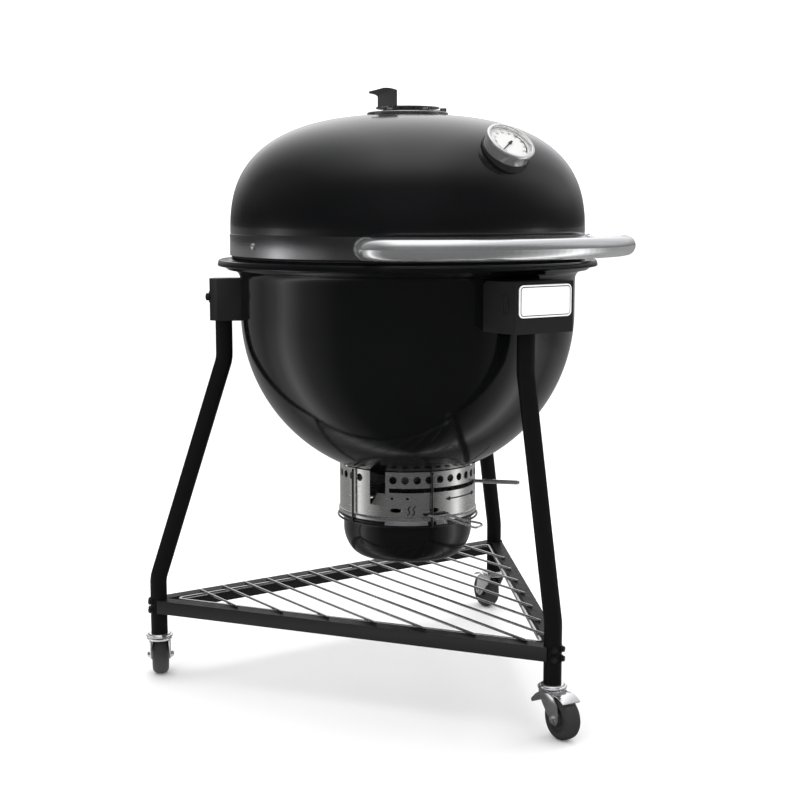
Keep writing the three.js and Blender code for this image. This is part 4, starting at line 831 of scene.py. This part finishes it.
# Casters: a plated steel race pressed into the leg, and a pressed fork that swivels under it on a ring of balls.
# A solid dark grey rubber wheel turns on a bolt through the fork. The front fork also carries a brake lever.
WHEEL = 38
HALF_WIDTH = 16
TRAIL = 32
RACE_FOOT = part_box("caster_race_front")[0].z * 1000
FORK_TOP = RACE_FOOT - 0.3
CHEEK_IN = HALF_WIDTH + 1.0
CHEEK_OUT = CHEEK_IN + 3
FENDER, FORK_SHEET = 40.8, 2.2
tyre = surface("dark grey tyre", (0.036, 0.034, 0.036), (0.022, 0.021, 0.022), 0.42, 0.58, scale=45, bump=0.2,
               bump_scale=500, wear=(0.08, 0.08, 0.08), wear_at=0.6)


def side_plate(outline, start, end, place, bevel=0.8, segments=2):
    """A flat plate cut to a side outline of y and z pairs in mm, between two x values."""
    near, far = ([place @ Vector((x / 1000, y / 1000, z / 1000)) for y, z in outline] for x in (start, end))
    return changed(slab(near, far), "BEVEL", width=bevel / 1000, segments=segments, limit_method="ANGLE",
                   angle_limit=math.radians(25))


ball_tree = Tree("ring of balls", Balls="Int", Reach="Float", Ball_Radius="Float", Middle="Vector")
q = ball_tree.given
ball_ring = ball_tree.add("GeometryNodeMeshCircle", {"Vertices": q["Balls"], "Radius": q["Reach"]})[0]
ball = ball_tree.add("GeometryNodeMeshUVSphere", {"Segments": 12, "Rings": 8, "Radius": q["Ball Radius"]})[0]
ball_set = ball_tree.add("GeometryNodeInstanceOnPoints", {"Points": ball_ring, "Instance": ball})[0]
ball_tree.finish(ball_tree.add("GeometryNodeTransform", {"Geometry": ball_set, "Translation": q["Middle"]})[0])

for name, (reach, angle, swivel) in FEET.items():
    foot = round_spot(reach, angle, 0)
    upright = Matrix.Translation(foot)
    place = upright @ Matrix.Rotation(math.radians(swivel), 4, "Z")
    hub_place = place @ Matrix.Translation((0, -TRAIL / 1000, WHEEL / 1000)) @ Matrix.Rotation(math.radians(90), 4, "Y")
    race = turned([
        (5.4, RACE_FOOT), (22, RACE_FOOT), (24.6, RACE_FOOT + 0.2), (26, RACE_FOOT + 1.2), (26, RACE_FOOT + 2.8),
        (24.8, RACE_FOOT + 4),
        (22.6, RACE_FOOT + 4.5), (21.6, RACE_FOOT + 5.6), (20.4, RACE_FOOT + 6.8), (18, RACE_FOOT + 7),
        (13, RACE_FOOT + 7),
        (13, RACE_FOOT + 46), (11, RACE_FOOT + 47.3), (0, RACE_FOOT + 47.3),
    ], 56, place=upright)
    race_under = turned([(0, RACE_FOOT + 14), (5.4, RACE_FOOT + 14), (5.4, RACE_FOOT)][::-1], 56, place=upright)
    fitted(f"race_{name}", merged(race, race_under), chrome, "stand", "chrome", f"caster_race_{name}")
    fitted(f"race_balls_{name}", grown(ball_tree, chrome, None, Balls=22, Reach=0.0222, Ball_Radius=0.0016,
           Middle=foot + Vector((0, 0, (RACE_FOOT - 1.2) / 1000))), None, "stand", "chrome", crease=60)
    top = turned([
        (0, FORK_TOP - 6.5), (19, FORK_TOP - 6.5), (22, FORK_TOP - 5.6), (24.3, FORK_TOP - 3.8), (25, FORK_TOP - 2),
        (24, FORK_TOP - 1.4),
        (20, FORK_TOP - 2.4), (12, FORK_TOP - 2.4), (8, FORK_TOP - 0.6), (5, FORK_TOP), (5, FORK_TOP + 10),
        (0, FORK_TOP + 11),
    ], 56, place=place)
    cheek = [(14, FORK_TOP - 6), (10, FORK_TOP - 15), (2, FORK_TOP - 26), (-TRAIL + 12, WHEEL - 3),
             (-TRAIL + 8, WHEEL - 8),
             (-TRAIL, WHEEL - 11), (-TRAIL - 8, WHEEL - 8), (-TRAIL - 11, WHEEL), (-TRAIL - 12, WHEEL + 12),
             (-TRAIL - 8, WHEEL + 26),
             (-TRAIL + 4, FORK_TOP - 4.2), (-8, FORK_TOP - 3), (10, FORK_TOP - 3)]
    cheeks = [side_plate(cheek, s * CHEEK_IN, s * CHEEK_OUT, place) for s in (1, -1)]
    fender = []
    for fender_reach, angles in ((FENDER, range(58, 133, 5)), (FENDER + FORK_SHEET, range(128, 57, -5))):
        fender += [(-TRAIL + fender_reach * math.cos(math.radians(a)), WHEEL + fender_reach * math.sin(math.radians(a)))
                   for a in angles]
    fender = side_plate([(y, min(z, FORK_TOP - 3.2)) for y, z in fender], -CHEEK_IN - 1.5, CHEEK_IN + 1.5, place, 0.5)
    fitted(f"fork_{name}", merged(top, *cheeks, fender), chrome, f"caster_{name}", "chrome", f"caster_fork_{name}")
    half = [(0.6, HALF_WIDTH), (27.5, HALF_WIDTH - 0.2), (31.5, HALF_WIDTH - 0.8), (34.4, HALF_WIDTH - 2.6),
            (36.6, HALF_WIDTH - 5.4),
            (37.7, HALF_WIDTH - 9), (38.0, HALF_WIDTH - 13)]
    hub = [(4.3, HALF_WIDTH - 0.6), (11, HALF_WIDTH - 0.6), (12.4, HALF_WIDTH - 1.8), (13, HALF_WIDTH - 5),
           (22.4, HALF_WIDTH - 5),
           (23.6, HALF_WIDTH - 1.4), (24.6, HALF_WIDTH - 0.2)]
    wheel_profile = [(r, -z) for r, z in hub + half[1:]] + [(r, z) for r, z in (hub + half[1:])[::-1]]
    fitted(f"wheel_tyre_{name}", turned(wheel_profile, 64, closed=True, place=hub_place), tyre, f"wheel_{name}",
           "wheel_rubber", f"caster_wheel_{name}")
    outer = CHEEK_OUT + 0.2
    shank = turned([(0, -outer), (4, -outer), (4, outer), (0, outer)], 24, place=hub_place)
    across = (place.to_3x3() @ Vector((1, 0, 0))).normalized()
    hub_middle = place @ Vector((0, -TRAIL / 1000, WHEEL / 1000))
    ends = bolts([(hub_middle + across * outer / 1000, across), (hub_middle - across * outer / 1000, -across)], 6.4,
                 3.6, chrome, washer=7.4)
    fitted(f"axle_bolt_{name}", merged(shank, ends), chrome, f"caster_{name}", "chrome", f"caster_axle_{name}")
softened("brake_pedal", chrome, 1.2)


# Lid: a deep squared dome pressed from steel and enamelled gloss black, with a thinner enamelled liner inside it.
# A flue hole goes through its crown under the damper.
LID = 340
DOME = 226
POWER = 2.65
lid_low, lid_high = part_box("lid_band")
LID_FOOT = lid_low.z * 1000
BAND_TOP = lid_high.z * 1000
DOME_FOOT = BAND_TOP - 2
FLUE = 44
DOME_START = 0.012
LID_SHEET, LID_LINER_SHEET = 3, 2.4


def dome_arc(inset, to_reach, steps=72):
    """The dome's curve, going up from its wall to the flue."""
    radius, height = LID - inset, DOME - inset
    end = math.acos((to_reach / radius) ** (POWER / 2))
    turns = [DOME_START + (end - DOME_START) * (i / steps) for i in range(steps + 1)]
    return [(radius * math.cos(t) ** (2 / POWER), DOME_FOOT + height * math.sin(t) ** (2 / POWER)) for t in turns]


lid_profile = [(LID - 2, LID_FOOT + 0.6), (LID - 2, BAND_TOP - 2.4), (LID - 0.6, BAND_TOP + 0.2)] + dome_arc(0, FLUE)
lid_enamel = surface("lid enamel", (0.0042, 0.0044, 0.0048), (0.0034, 0.0036, 0.004), 0.16, 0.2, scale=7, bump=0.02,
                     bump_scale=60, Coat_Weight=0.3, Coat_Roughness=0.1)
TILT = math.radians(42.2)
dial_low, dial_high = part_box("gauge_dial")
gauge_place = Matrix.Translation((dial_low + dial_high) / 2) @ Matrix.Rotation(TILT, 4, "X")
probe_hole = turned([(0, -170), (5, -170), (5, 10), (0, 10)], 24, place=gauge_place)
lid_mesh = walled(turned(lid_profile, 160), LID_SHEET)
fitted("lid_dome", cut(lid_mesh, probe_hole), lid_enamel, "lid", "black_enamel", "lid_shell")
LINER_INSET = 14
lid_liner_profile = [(LID - 5.3, LID_FOOT + 0.4), (LID - LINER_INSET, LID_FOOT + 0.4)]
lid_liner_profile += dome_arc(LINER_INSET, FLUE + 2.6, 48) + [(FLUE + 2.5, DOME_FOOT + DOME - 5)]
lid_liner_mesh = walled(turned(lid_liner_profile, 120), LID_LINER_SHEET)
fitted("lid_inner", cut(lid_liner_mesh, probe_hole), used_enamel, "lid", "black_enamel", "lid_liner")


# Lid band: a strip of brushed stainless steel rolled round the lid's lower edge.
# One plated screw at each side fixes it to the lid.
band_steel = surface("brushed band steel", (0.56, 0.555, 0.57), (0.46, 0.455, 0.47), 0.16, 0.24, 1.0, scale=3,
                     stretch=(1.5, 1, 420), bump=0.05, bump_scale=4, round_axis=axis_point)
band_profile = [
    (LID - 1.6, LID_FOOT + 0.1), (LID + 0.2, LID_FOOT), (LID + 0.9, LID_FOOT + 0.5), (LID + 1, LID_FOOT + 1.4),
    (LID + 1, BAND_TOP - 1.4),
    (LID + 0.8, BAND_TOP - 0.4), (LID + 0.2, BAND_TOP), (LID - 1.6, BAND_TOP - 0.1),
]
fitted("band", turned(band_profile, 180, closed=True), band_steel, "lid", "brushed_steel", "lid_band")
BAND_MIDDLE = (LID_FOOT + BAND_TOP) / 2
SCREW_ANGLES = (-90.4, 90.4)
band_screws = [(round_spot(LID + 1, a, BAND_MIDDLE), outward(a)) for a in SCREW_ANGLES]
fitted("band_screws", bolts(band_screws, 4.8, 1.4, chrome, sides=18, washer=6.4), None, "lid", "chrome",
       "band_screw_left", "band_screw_right")


# Lid handle: one polished stainless steel tube, bent round the front of the lid and in to the band at each end.
# A short cup of the same steel is pressed over each end and welded to the band.
HANDLE = 18.5
HANDLE_OUT = LID + 82
handle_roots, handle_elbows = ([round_spot(reach, side * angle, BAND_MIDDLE) for side in (-1, 1)]
                               for reach, angle in ((LID - 14, 49), (HANDLE_OUT + 3, 43.5)))
handle_way = [handle_roots[0], handle_elbows[0]]
handle_way += [round_spot(HANDLE_OUT, a, BAND_MIDDLE) for a in range(-30, 31, 2)]
handle_way += [handle_elbows[1], handle_roots[1]]
handle_steel = surface("polished handle steel", (0.88, 0.885, 0.89), (0.82, 0.825, 0.83), 0.13, 0.2, 0.9, scale=5,
                       stretch=(1, 1, 60), bump=0.02, bump_scale=30, round_axis=axis_point)
handle_mesh = rods([handle_way], HANDLE, handle_steel, bend=55, steps=16, sides=48)
lid_body = turned([(0, LID_FOOT - 60), (LID + 1.1, LID_FOOT - 60), (LID + 1.1, BAND_TOP + 60), (0, BAND_TOP + 60)], 180)
handle_mesh = cut(handle_mesh, lid_body)
fitted("handle_tube", handle_mesh, handle_steel, "lid", "polished_steel", "lid_handle", crease=40)
CUP_LENGTH = 22.5
cups = []
for root, elbow in zip(handle_roots, handle_elbows):
    way_in = (root - elbow).normalized()
    cups.append(rods([[root, root - way_in * (CUP_LENGTH / 1000)]], HANDLE + 1.7, handle_steel, sides=48))
fitted("handle_cups", cut(merged(*cups), lid_body), handle_steel, "lid", "polished_steel", crease=40)


# Thermometer: a polished steel case on the lid's shoulder, a white printed dial with a scale, a black pointer,
# and a flat glass. Its steel probe reaches through the lid into the cooking space and holds it there.
GAUGE = 46
DIAL = 41.7
FACE = 7.75
case_profile = [
    (3.3, FACE - 42), (30, FACE - 42), (36, FACE - 30), (GAUGE - 2.4, FACE - 26), (GAUGE - 2.2, FACE - 6.4),
    (GAUGE - 1.6, FACE - 5.2),
    (GAUGE - 0.4, FACE - 4.6), (GAUGE, FACE - 3.8), (GAUGE, FACE - 1.6), (GAUGE - 0.5, FACE - 0.5), (GAUGE - 1.6, FACE),
    (GAUGE - 4.4, FACE),
    (GAUGE - 5.2, FACE - 0.6), (GAUGE - 5.4, FACE - 1.4), (GAUGE - 5.6, FACE - 3.4), (GAUGE - 4, FACE - 4),
    (GAUGE - 4, -1.2), (3.3, -1.2),
]
case_mesh = turned(case_profile, 96, closed=True, place=gauge_place)
dome_block_profile = [(0, DOME_FOOT - 30), (LID + 0.4, DOME_FOOT - 30)] + dome_arc(-0.4, FLUE)
dome_block = turned(dome_block_profile + [(0, DOME_FOOT + DOME + 0.4)], 160)
gauge_steel = surface("polished case steel", (0.88, 0.88, 0.88), (0.82, 0.82, 0.82), 0.07, 0.13, 0.88, scale=40,
                      bump=0.02, bump_scale=200)
fitted("thermometer_case", cut(case_mesh, dome_block), gauge_steel, "lid", "polished_steel", "gauge_case")
# A black ring round the case's foot, down into the dome: partly a black base gasket, partly painted shade under the
# case.
foot_shade_ring = [(GAUGE - 2.0, FACE - 60), (GAUGE - 0.4, FACE - 60), (GAUGE - 0.4, FACE - 23.6), (GAUGE - 1.2, FACE - 22.8),
             (GAUGE - 2.0, FACE - 22.8)]
fitted("thermometer_foot_shade_ring", cut(turned(foot_shade_ring, 96, closed=True, place=gauge_place), dome_block), sign_black, "lid",
       "black_plastic")
dial_white = surface("white printed dial", (0.86, 0.86, 0.85), (0.8, 0.8, 0.79), 0.45, 0.55, scale=200, bump=0.03)
fitted("dial_plate", turned([(1.6, -0.75), (DIAL, -0.75), (DIAL, 0.75), (1.6, 0.75)], 96, closed=True,
                            place=gauge_place), dial_white,
       "lid", "dial", "gauge_dial")

tick_tree = Tree("dial marks", Marks="Int", First="Float", Spacing="Float", Reach="Float", Size="Vector")
m = tick_tree.given
tick_points = tick_tree.add("GeometryNodePoints", {"Count": m["Marks"]})[0]
tick_turn = tick_tree.math("ADD", tick_tree.math("MULTIPLY", tick_tree.add("GeometryNodeInputIndex")[0], m["Spacing"]),
                           m["First"])
tick_place = tick_tree.add("ShaderNodeCombineXYZ",
                           {"X": tick_tree.math("MULTIPLY", tick_tree.math("SINE", tick_turn), m["Reach"]),
                           "Y": tick_tree.math("MULTIPLY", tick_tree.math("COSINE", tick_turn), m["Reach"])})[0]
tick_points = tick_tree.add("GeometryNodeSetPosition", {"Geometry": tick_points, "Position": tick_place})[0]
tick_facing = tick_tree.add("ShaderNodeCombineXYZ", {"Z": tick_tree.math("MULTIPLY", tick_turn, -1.0)})[0]
tick_bar = tick_tree.add("GeometryNodeMeshCube", {"Size": m["Size"]})[0]
tick_tree.finish(tick_tree.add("GeometryNodeInstanceOnPoints", {"Points": tick_points, "Instance": tick_bar,
                                                                "Rotation": tick_facing})[0])

marks = []
SCALE_START, NUMBER_STEP = -135, 27
for count, first, spacing, reach, width, long in (
    (11, SCALE_START, NUMBER_STEP, 36.4, 0.75, 4.2), (51, SCALE_START, NUMBER_STEP / 5, 37.6, 0.3, 1.8),
    (46, 45, 2.0, 33.0, 1.3, 2.6), (30, -120, 2.0, 28.6, 1.1, 0.5),
):
    marks.append(grown(tick_tree, sign_black, None, Marks=count, First=math.radians(first),
                       Spacing=math.radians(spacing),
                       Reach=reach / 1000, Size=(width / 1000, long / 1000, 0.00016)))
dial_marks = merged(*marks)
dial_marks.transform(gauge_place @ Matrix.Translation((0, 0, 0.00082)))
printed_grey = surface("printed grey scale", (0.06, 0.06, 0.06), (0.035, 0.035, 0.035), 0.5, 0.6, scale=100, bump=0.05)
fitted("dial_scale", dial_marks, printed_grey, "lid", "black_plastic", crease=60)
NUMBER_REACH, NUMBER_SIZE = 0.0288, 0.0062
for i in range(11):
    turn = math.radians(SCALE_START + NUMBER_STEP * i)
    figures = bpy.data.curves.new(f"dial_number_{i}", "FONT")
    figures.body, figures.size, figures.extrude = str(5 * i), NUMBER_SIZE, 0.00006
    figures.align_x, figures.align_y = "CENTER", "CENTER"
    number_at = Matrix.Translation((NUMBER_REACH * math.sin(turn), NUMBER_REACH * math.cos(turn), 0.0009))
    number_mesh = result_of(placed(f"dial_number_{i}", figures))
    number_mesh.transform(gauge_place @ number_at)
    fitted(f"dial_number_{i}", number_mesh, printed_grey, "lid", "black_plastic", crease=60)

POINTER_TURN = 125
pointer_place = gauge_place @ Matrix.Rotation(math.radians(POINTER_TURN), 4, "Z")
pointer_outline = [
    (-1.9, -9), (1.9, -9), (1.9, -4.6), (0.9, -3.4), (1.9, 0), (1.2, 4), (0.6, 31), (-0.6, 31), (-1.2, 4), (-1.9, 0),
    (-0.9, -3.4), (-1.9, -4.6),
]
pointer_mesh = slab(*([pointer_place @ Vector((x / 1000, y / 1000, z / 1000)) for x, y in pointer_outline]
                      for z in (2.5, 1.7)))
pointer_hub = turned([(0, 0.9), (3.2, 0.9), (3.2, 2.6), (2.4, 3.2), (0, 3.3)], 32, place=gauge_place)
pointer_black = surface("satin black pointer", (0.012, 0.012, 0.012), (0.008, 0.008, 0.008), 0.35, 0.45, scale=200,
                        bump=0.05)
fitted("pointer", merged(pointer_mesh, pointer_hub), pointer_black, "needle", "black_plastic", "gauge_pointer")
refinish(plate_steel, "gauge_probe")

clear_glass = surface("clear gauge glass", (0.05, 0.05, 0.05), (0.03, 0.03, 0.03), 0.02, 0.05, scale=60, bump=0.01,
                      bump_scale=200, Alpha=0.08)
GLASS_LOW = 4.6
fitted("dial_glass", turned([(0, GLASS_LOW), (DIAL - 1.6, GLASS_LOW), (DIAL - 1.4, GLASS_LOW + 0.4),
                             (DIAL - 1.4, GLASS_LOW + 1.2),
       (DIAL - 1.9, GLASS_LOW + 1.6), (0, GLASS_LOW + 1.6)], 96, place=gauge_place), clear_glass, "lid", "gauge_glass",
       "gauge_glass")


# Top damper: a turned steel flange riveted round the flue, and a hinged steel cap over it.
# The cap carries a turning slotted disc with a moulded black knob.
VENT = 77.5
vent_steel = surface("turned damper steel", (0.66, 0.66, 0.65), (0.5, 0.5, 0.49), 0.2, 0.3, 1.0, scale=6,
                     stretch=(1, 12, 12), bump=0.01, bump_scale=12, round_axis=axis_point)
refinish(vent_steel, "vent_base")
vent_rim = [
    (FLUE, 1077), (FLUE + 3, 1077), (FLUE + 3, 1093), (VENT - 6, 1087.5), (VENT - 1.2, 1086.4), (VENT, 1087.6),
    (VENT, 1090.4), (VENT - 1.5, 1091.2),
    (VENT - 1.6, 1092.4), (VENT, 1093.2), (VENT, 1099.4), (VENT - 0.9, 1100.7), (VENT - 2.2, 1101), (FLUE + 4, 1101),
    (FLUE, 1100.4),
]
CROWN_WIDE = 300
crown_profile = [(0, 900), (CROWN_WIDE, 900)]
crown_profile += [(r, z) for r, z in dome_arc(-0.3, 10, 90) if r < CROWN_WIDE]
crown_skin = turned(crown_profile + [(0, DOME_FOOT + DOME + 0.3)], 128)
fitted("vent_flange", cut(turned(vent_rim, 112, closed=True), crown_skin), vent_steel, "lid", "brushed_steel")
refinish(chrome, "vent_pin")
softened("vent_cap", vent_steel, 0.6, 2)
softened("vent_disc", vent_steel, 0.4, 2)
knob_plastic = surface("moulded black knob", (0.034, 0.031, 0.033), (0.026, 0.024, 0.026), 0.42, 0.52, scale=300,
                       bump=0.15, bump_scale=1500, wear=(0.07, 0.066, 0.07), wear_at=0.6)
softened("vent_knob", knob_plastic, 1.6)


# Lid hinge: a black coated steel arm bolted to the lid's band and a bracket bolted to the bowl, joined by a pin.
# A wound spring of oiled steel wire on the pin eases the lid's weight.
softened("hinge_bracket", coat, 1.2, 2)
softened("hinge_arm", coat, 1.2, 2)
refinish(chrome, "hinge_pin")
spring_low, spring_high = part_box("hinge_spring")
spring_tree = Tree("wound spring", Turns="Float", Coil_Radius="Float", Wire_Radius="Float", Long="Float",
                   Middle="Vector")
w = spring_tree.given
coil = spring_tree.add("GeometryNodeCurveSpiral", {"Resolution": 24, "Rotations": w["Turns"],
                                                   "Start Radius": w["Coil Radius"],
                       "End Radius": w["Coil Radius"], "Height": w["Long"]})[0]
coil_wire = spring_tree.add("GeometryNodeCurvePrimitiveCircle", {"Radius": w["Wire Radius"], "Resolution": 10})[0]
coil = spring_tree.add("GeometryNodeCurveToMesh", {"Curve": coil, "Profile Curve": coil_wire, "Fill Caps": True})[0]
coil_drop = spring_tree.add("ShaderNodeCombineXYZ", {"Z": spring_tree.math("MULTIPLY", w["Long"], -0.5)})[0]
coil = spring_tree.add("GeometryNodeTransform", {"Geometry": coil, "Translation": coil_drop})[0]
spring_tree.finish(spring_tree.add("GeometryNodeTransform", {"Geometry": coil, "Translation": w["Middle"],
                                                             "Rotation": (0, math.pi / 2, 0)})[0])
SPRING_WIRE = 1.5
spring_steel = surface("oiled spring steel", (0.22, 0.21, 0.2), (0.12, 0.115, 0.11), 0.25, 0.4, 1.0, scale=100,
                       bump=0.1, bump_scale=400)
SPRING_TURNS = 10.0
spring_mesh = grown(spring_tree, spring_steel, None, Turns=SPRING_TURNS,
                    Coil_Radius=(spring_high.z - spring_low.z) / 2 - SPRING_WIRE / 1000,
                    Wire_Radius=SPRING_WIRE / 1000, Long=spring_high.x - spring_low.x - 2 * SPRING_WIRE / 1000)
spring_mesh.transform(Matrix.Translation((spring_low + spring_high) / 2))
fitted("hinge_spring_coil", spring_mesh, None, "stand", "brushed_steel", "hinge_spring", crease=60)


# Studio: a floor in a pale tone, a soft sky that is brightest overhead and behind, three soft lamps, and the camera.
# The gloss sees a darker sky than the rest does, and a painted reflection on the floor, so that the enamel stays deep
# and keeps long highlights.
def tone_ramp(tree, share, *stops):
    """A colour ramp over a share from 0 to 1, through stops of a place and a grey tone or a colour."""
    node = tree.nodes.new("ShaderNodeValToRGB")
    tree.links.new(share, node.inputs["Fac"])
    ends = node.color_ramp.elements
    for stop, (place_at, tone) in zip(ends, (stops[0], stops[-1])):
        stop.position, stop.color = place_at, (*tone, 1) if isinstance(tone, tuple) else (tone, tone, tone, 1)
    for place_at, tone in stops[1:-1]:
        ends.new(place_at).color = (*tone, 1) if isinstance(tone, tuple) else (tone, tone, tone, 1)
    return node.outputs["Color"]


def leaning(tree, direction, toward):
    """How far a direction leans toward another: 1 along it and -1 against it."""
    return wired(tree, "ShaderNodeVectorMath", {0: direction, 1: toward}, operation="DOT_PRODUCT")["Value"]


FLOOR_HALF = 120
FLOOR_DROP = 0.0004
BEHIND = (0.58, 0.81, 0)
ASIDE = (0.81, -0.58, 0)
floor_work = bmesh.new()
bmesh.ops.create_grid(floor_work, x_segments=8, y_segments=8, size=FLOOR_HALF)
floor_shape = as_mesh(floor_work, "floor")
floor = placed("floor", floor_shape)
floor.location.z = -FLOOR_DROP
floor_paint = bpy.data.materials.new("pale floor, painted reflection")
floor_paint.use_nodes = True
floor_tree = floor_paint.node_tree
floor_shader = floor_tree.nodes["Principled BSDF"]
floor_shader.inputs["Roughness"].default_value = 0.9
floor_shader.inputs["Specular IOR Level"].default_value = 0.1
floor_way = wired(floor_tree, "ShaderNodeVectorMath", {0: wired(floor_tree, "ShaderNodeTexCoord")["Object"]},
                  operation="NORMALIZE")[0]
# Painted reflection: for glossy rays the floor's colour follows its direction round the middle. It is darkest in front,
# brightest out to the sides and darker again behind. Other rays see the plain pale tone.
floor_share = wired(floor_tree, "ShaderNodeMapRange", {"Value": leaning(floor_tree, floor_way, BEHIND),
                                                       "From Min": -1.0})
floor_painted_reflection = tone_ramp(floor_tree, floor_share["Result"], (0.0, 0.03), (0.16, 0.035), (0.36, 0.26), (0.5, 0.85),
                        (0.58, 0.36), (0.7, 0.13), (1.0, 0.2))
floor_mirrored = wired(floor_tree, "ShaderNodeLightPath")["Is Glossy Ray"]
floor_tone = wired(floor_tree, "ShaderNodeMix", {"Factor": floor_mirrored, "A": (0.9, 0.9, 0.9, 1), "B": floor_painted_reflection},
                   data_type="RGBA")["Result"]
floor_tree.links.new(floor_tone, floor_shader.inputs["Base Color"])
floor_shape.materials.append(floor_paint)

studio = bpy.data.worlds.new("studio")
studio.use_nodes = True
bpy.context.scene.world = studio
sky_tree = studio.node_tree
sky = sky_tree.nodes["Background"]
sky_way = wired(sky_tree, "ShaderNodeTexCoord")["Generated"]
OVER_BEHIND = Vector((0.28, 0.46, 0.84)).normalized()
sky_colour = tone_ramp(
    sky_tree, leaning(sky_tree, sky_way, OVER_BEHIND), (0.0, (0.07, 0.073, 0.078)),
    *((place_at, (tone, tone, tone * 1.02)) for place_at, tone in ((0.12, 0.1), (0.32, 0.32), (0.5, 0.75), (0.7, 1.1))),
    (1.0, 1.25),
)
side_share = wired(sky_tree, "ShaderNodeMapRange", {"Value": leaning(sky_tree, sky_way, ASIDE), "From Min": -1.0})
side_tone = tone_ramp(sky_tree, side_share["Result"], (0.0, 0.15), (0.12, 0.15), (0.28, 0.55), (0.42, 1.0), (0.6, 1.0),
                      (0.72, 0.6), (0.85, 0.45), (1.0, 0.85))
sky_shaded = wired(sky_tree, "ShaderNodeMix", {"Factor": 1.0, "A": sky_colour, "B": side_tone},
                   data_type="RGBA", blend_type="MULTIPLY")["Result"]
sky_height = wired(sky_tree, "ShaderNodeSeparateXYZ", {0: sky_way})["Z"]
sky_low = wired(sky_tree, "ShaderNodeMapRange", {"Value": sky_height, "From Max": 0.2, "To Min": 0.22})["Result"]
sky_gloss = wired(sky_tree, "ShaderNodeVectorMath", {0: sky_shaded, "Scale": sky_low}, operation="SCALE")[0]
sky_mirrored = wired(sky_tree, "ShaderNodeLightPath")["Is Glossy Ray"]
sky_tone = wired(sky_tree, "ShaderNodeMix", {"Factor": sky_mirrored, "A": (1.35, 1.35, 1.35, 1), "B": sky_gloss},
                 data_type="RGBA")["Result"]
sky_tree.links.new(sky_tone, sky.inputs["Color"])
sky.inputs["Strength"].default_value = 1.0


def soft_light(name, place_at, toward, wide, tall, power):
    """A soft rectangular lamp turned toward a point."""
    lamp = bpy.data.lights.new(name, "AREA")
    lamp.shape, lamp.size, lamp.size_y, lamp.energy = "RECTANGLE", wide, tall, power
    holder = placed(name, lamp)
    holder.location = place_at
    holder.rotation_euler = (Vector(toward) - Vector(place_at)).to_track_quat("-Z", "Y").to_euler()
    holder.visible_glossy = False


soft_light("overhead", (0.25, 0.35, 3.1), (0, 0, 0.8), 2.2, 1.6, 32)
soft_light("left strip", (-2.6, -1.5, 1.25), (0, 0, 0.75), 0.18, 1.5, 7)
soft_light("right strip", (2.7, -0.4, 1.5), (0, 0, 0.7), 0.7, 1.6, 16)

camera = bpy.data.cameras.new("camera")
camera.sensor_width = 36
camera.lens = 65.78
camera.shift_x = -7.6 / 800
viewer = placed("camera", camera)
viewer.location = spot(-1659.36, -2304.99, 927.71)
viewer.rotation_euler = (math.radians(90 - 7.634), 0, math.radians(-35.75))
bpy.context.scene.camera = viewer
bpy.context.scene.view_settings.view_transform = "Standard"
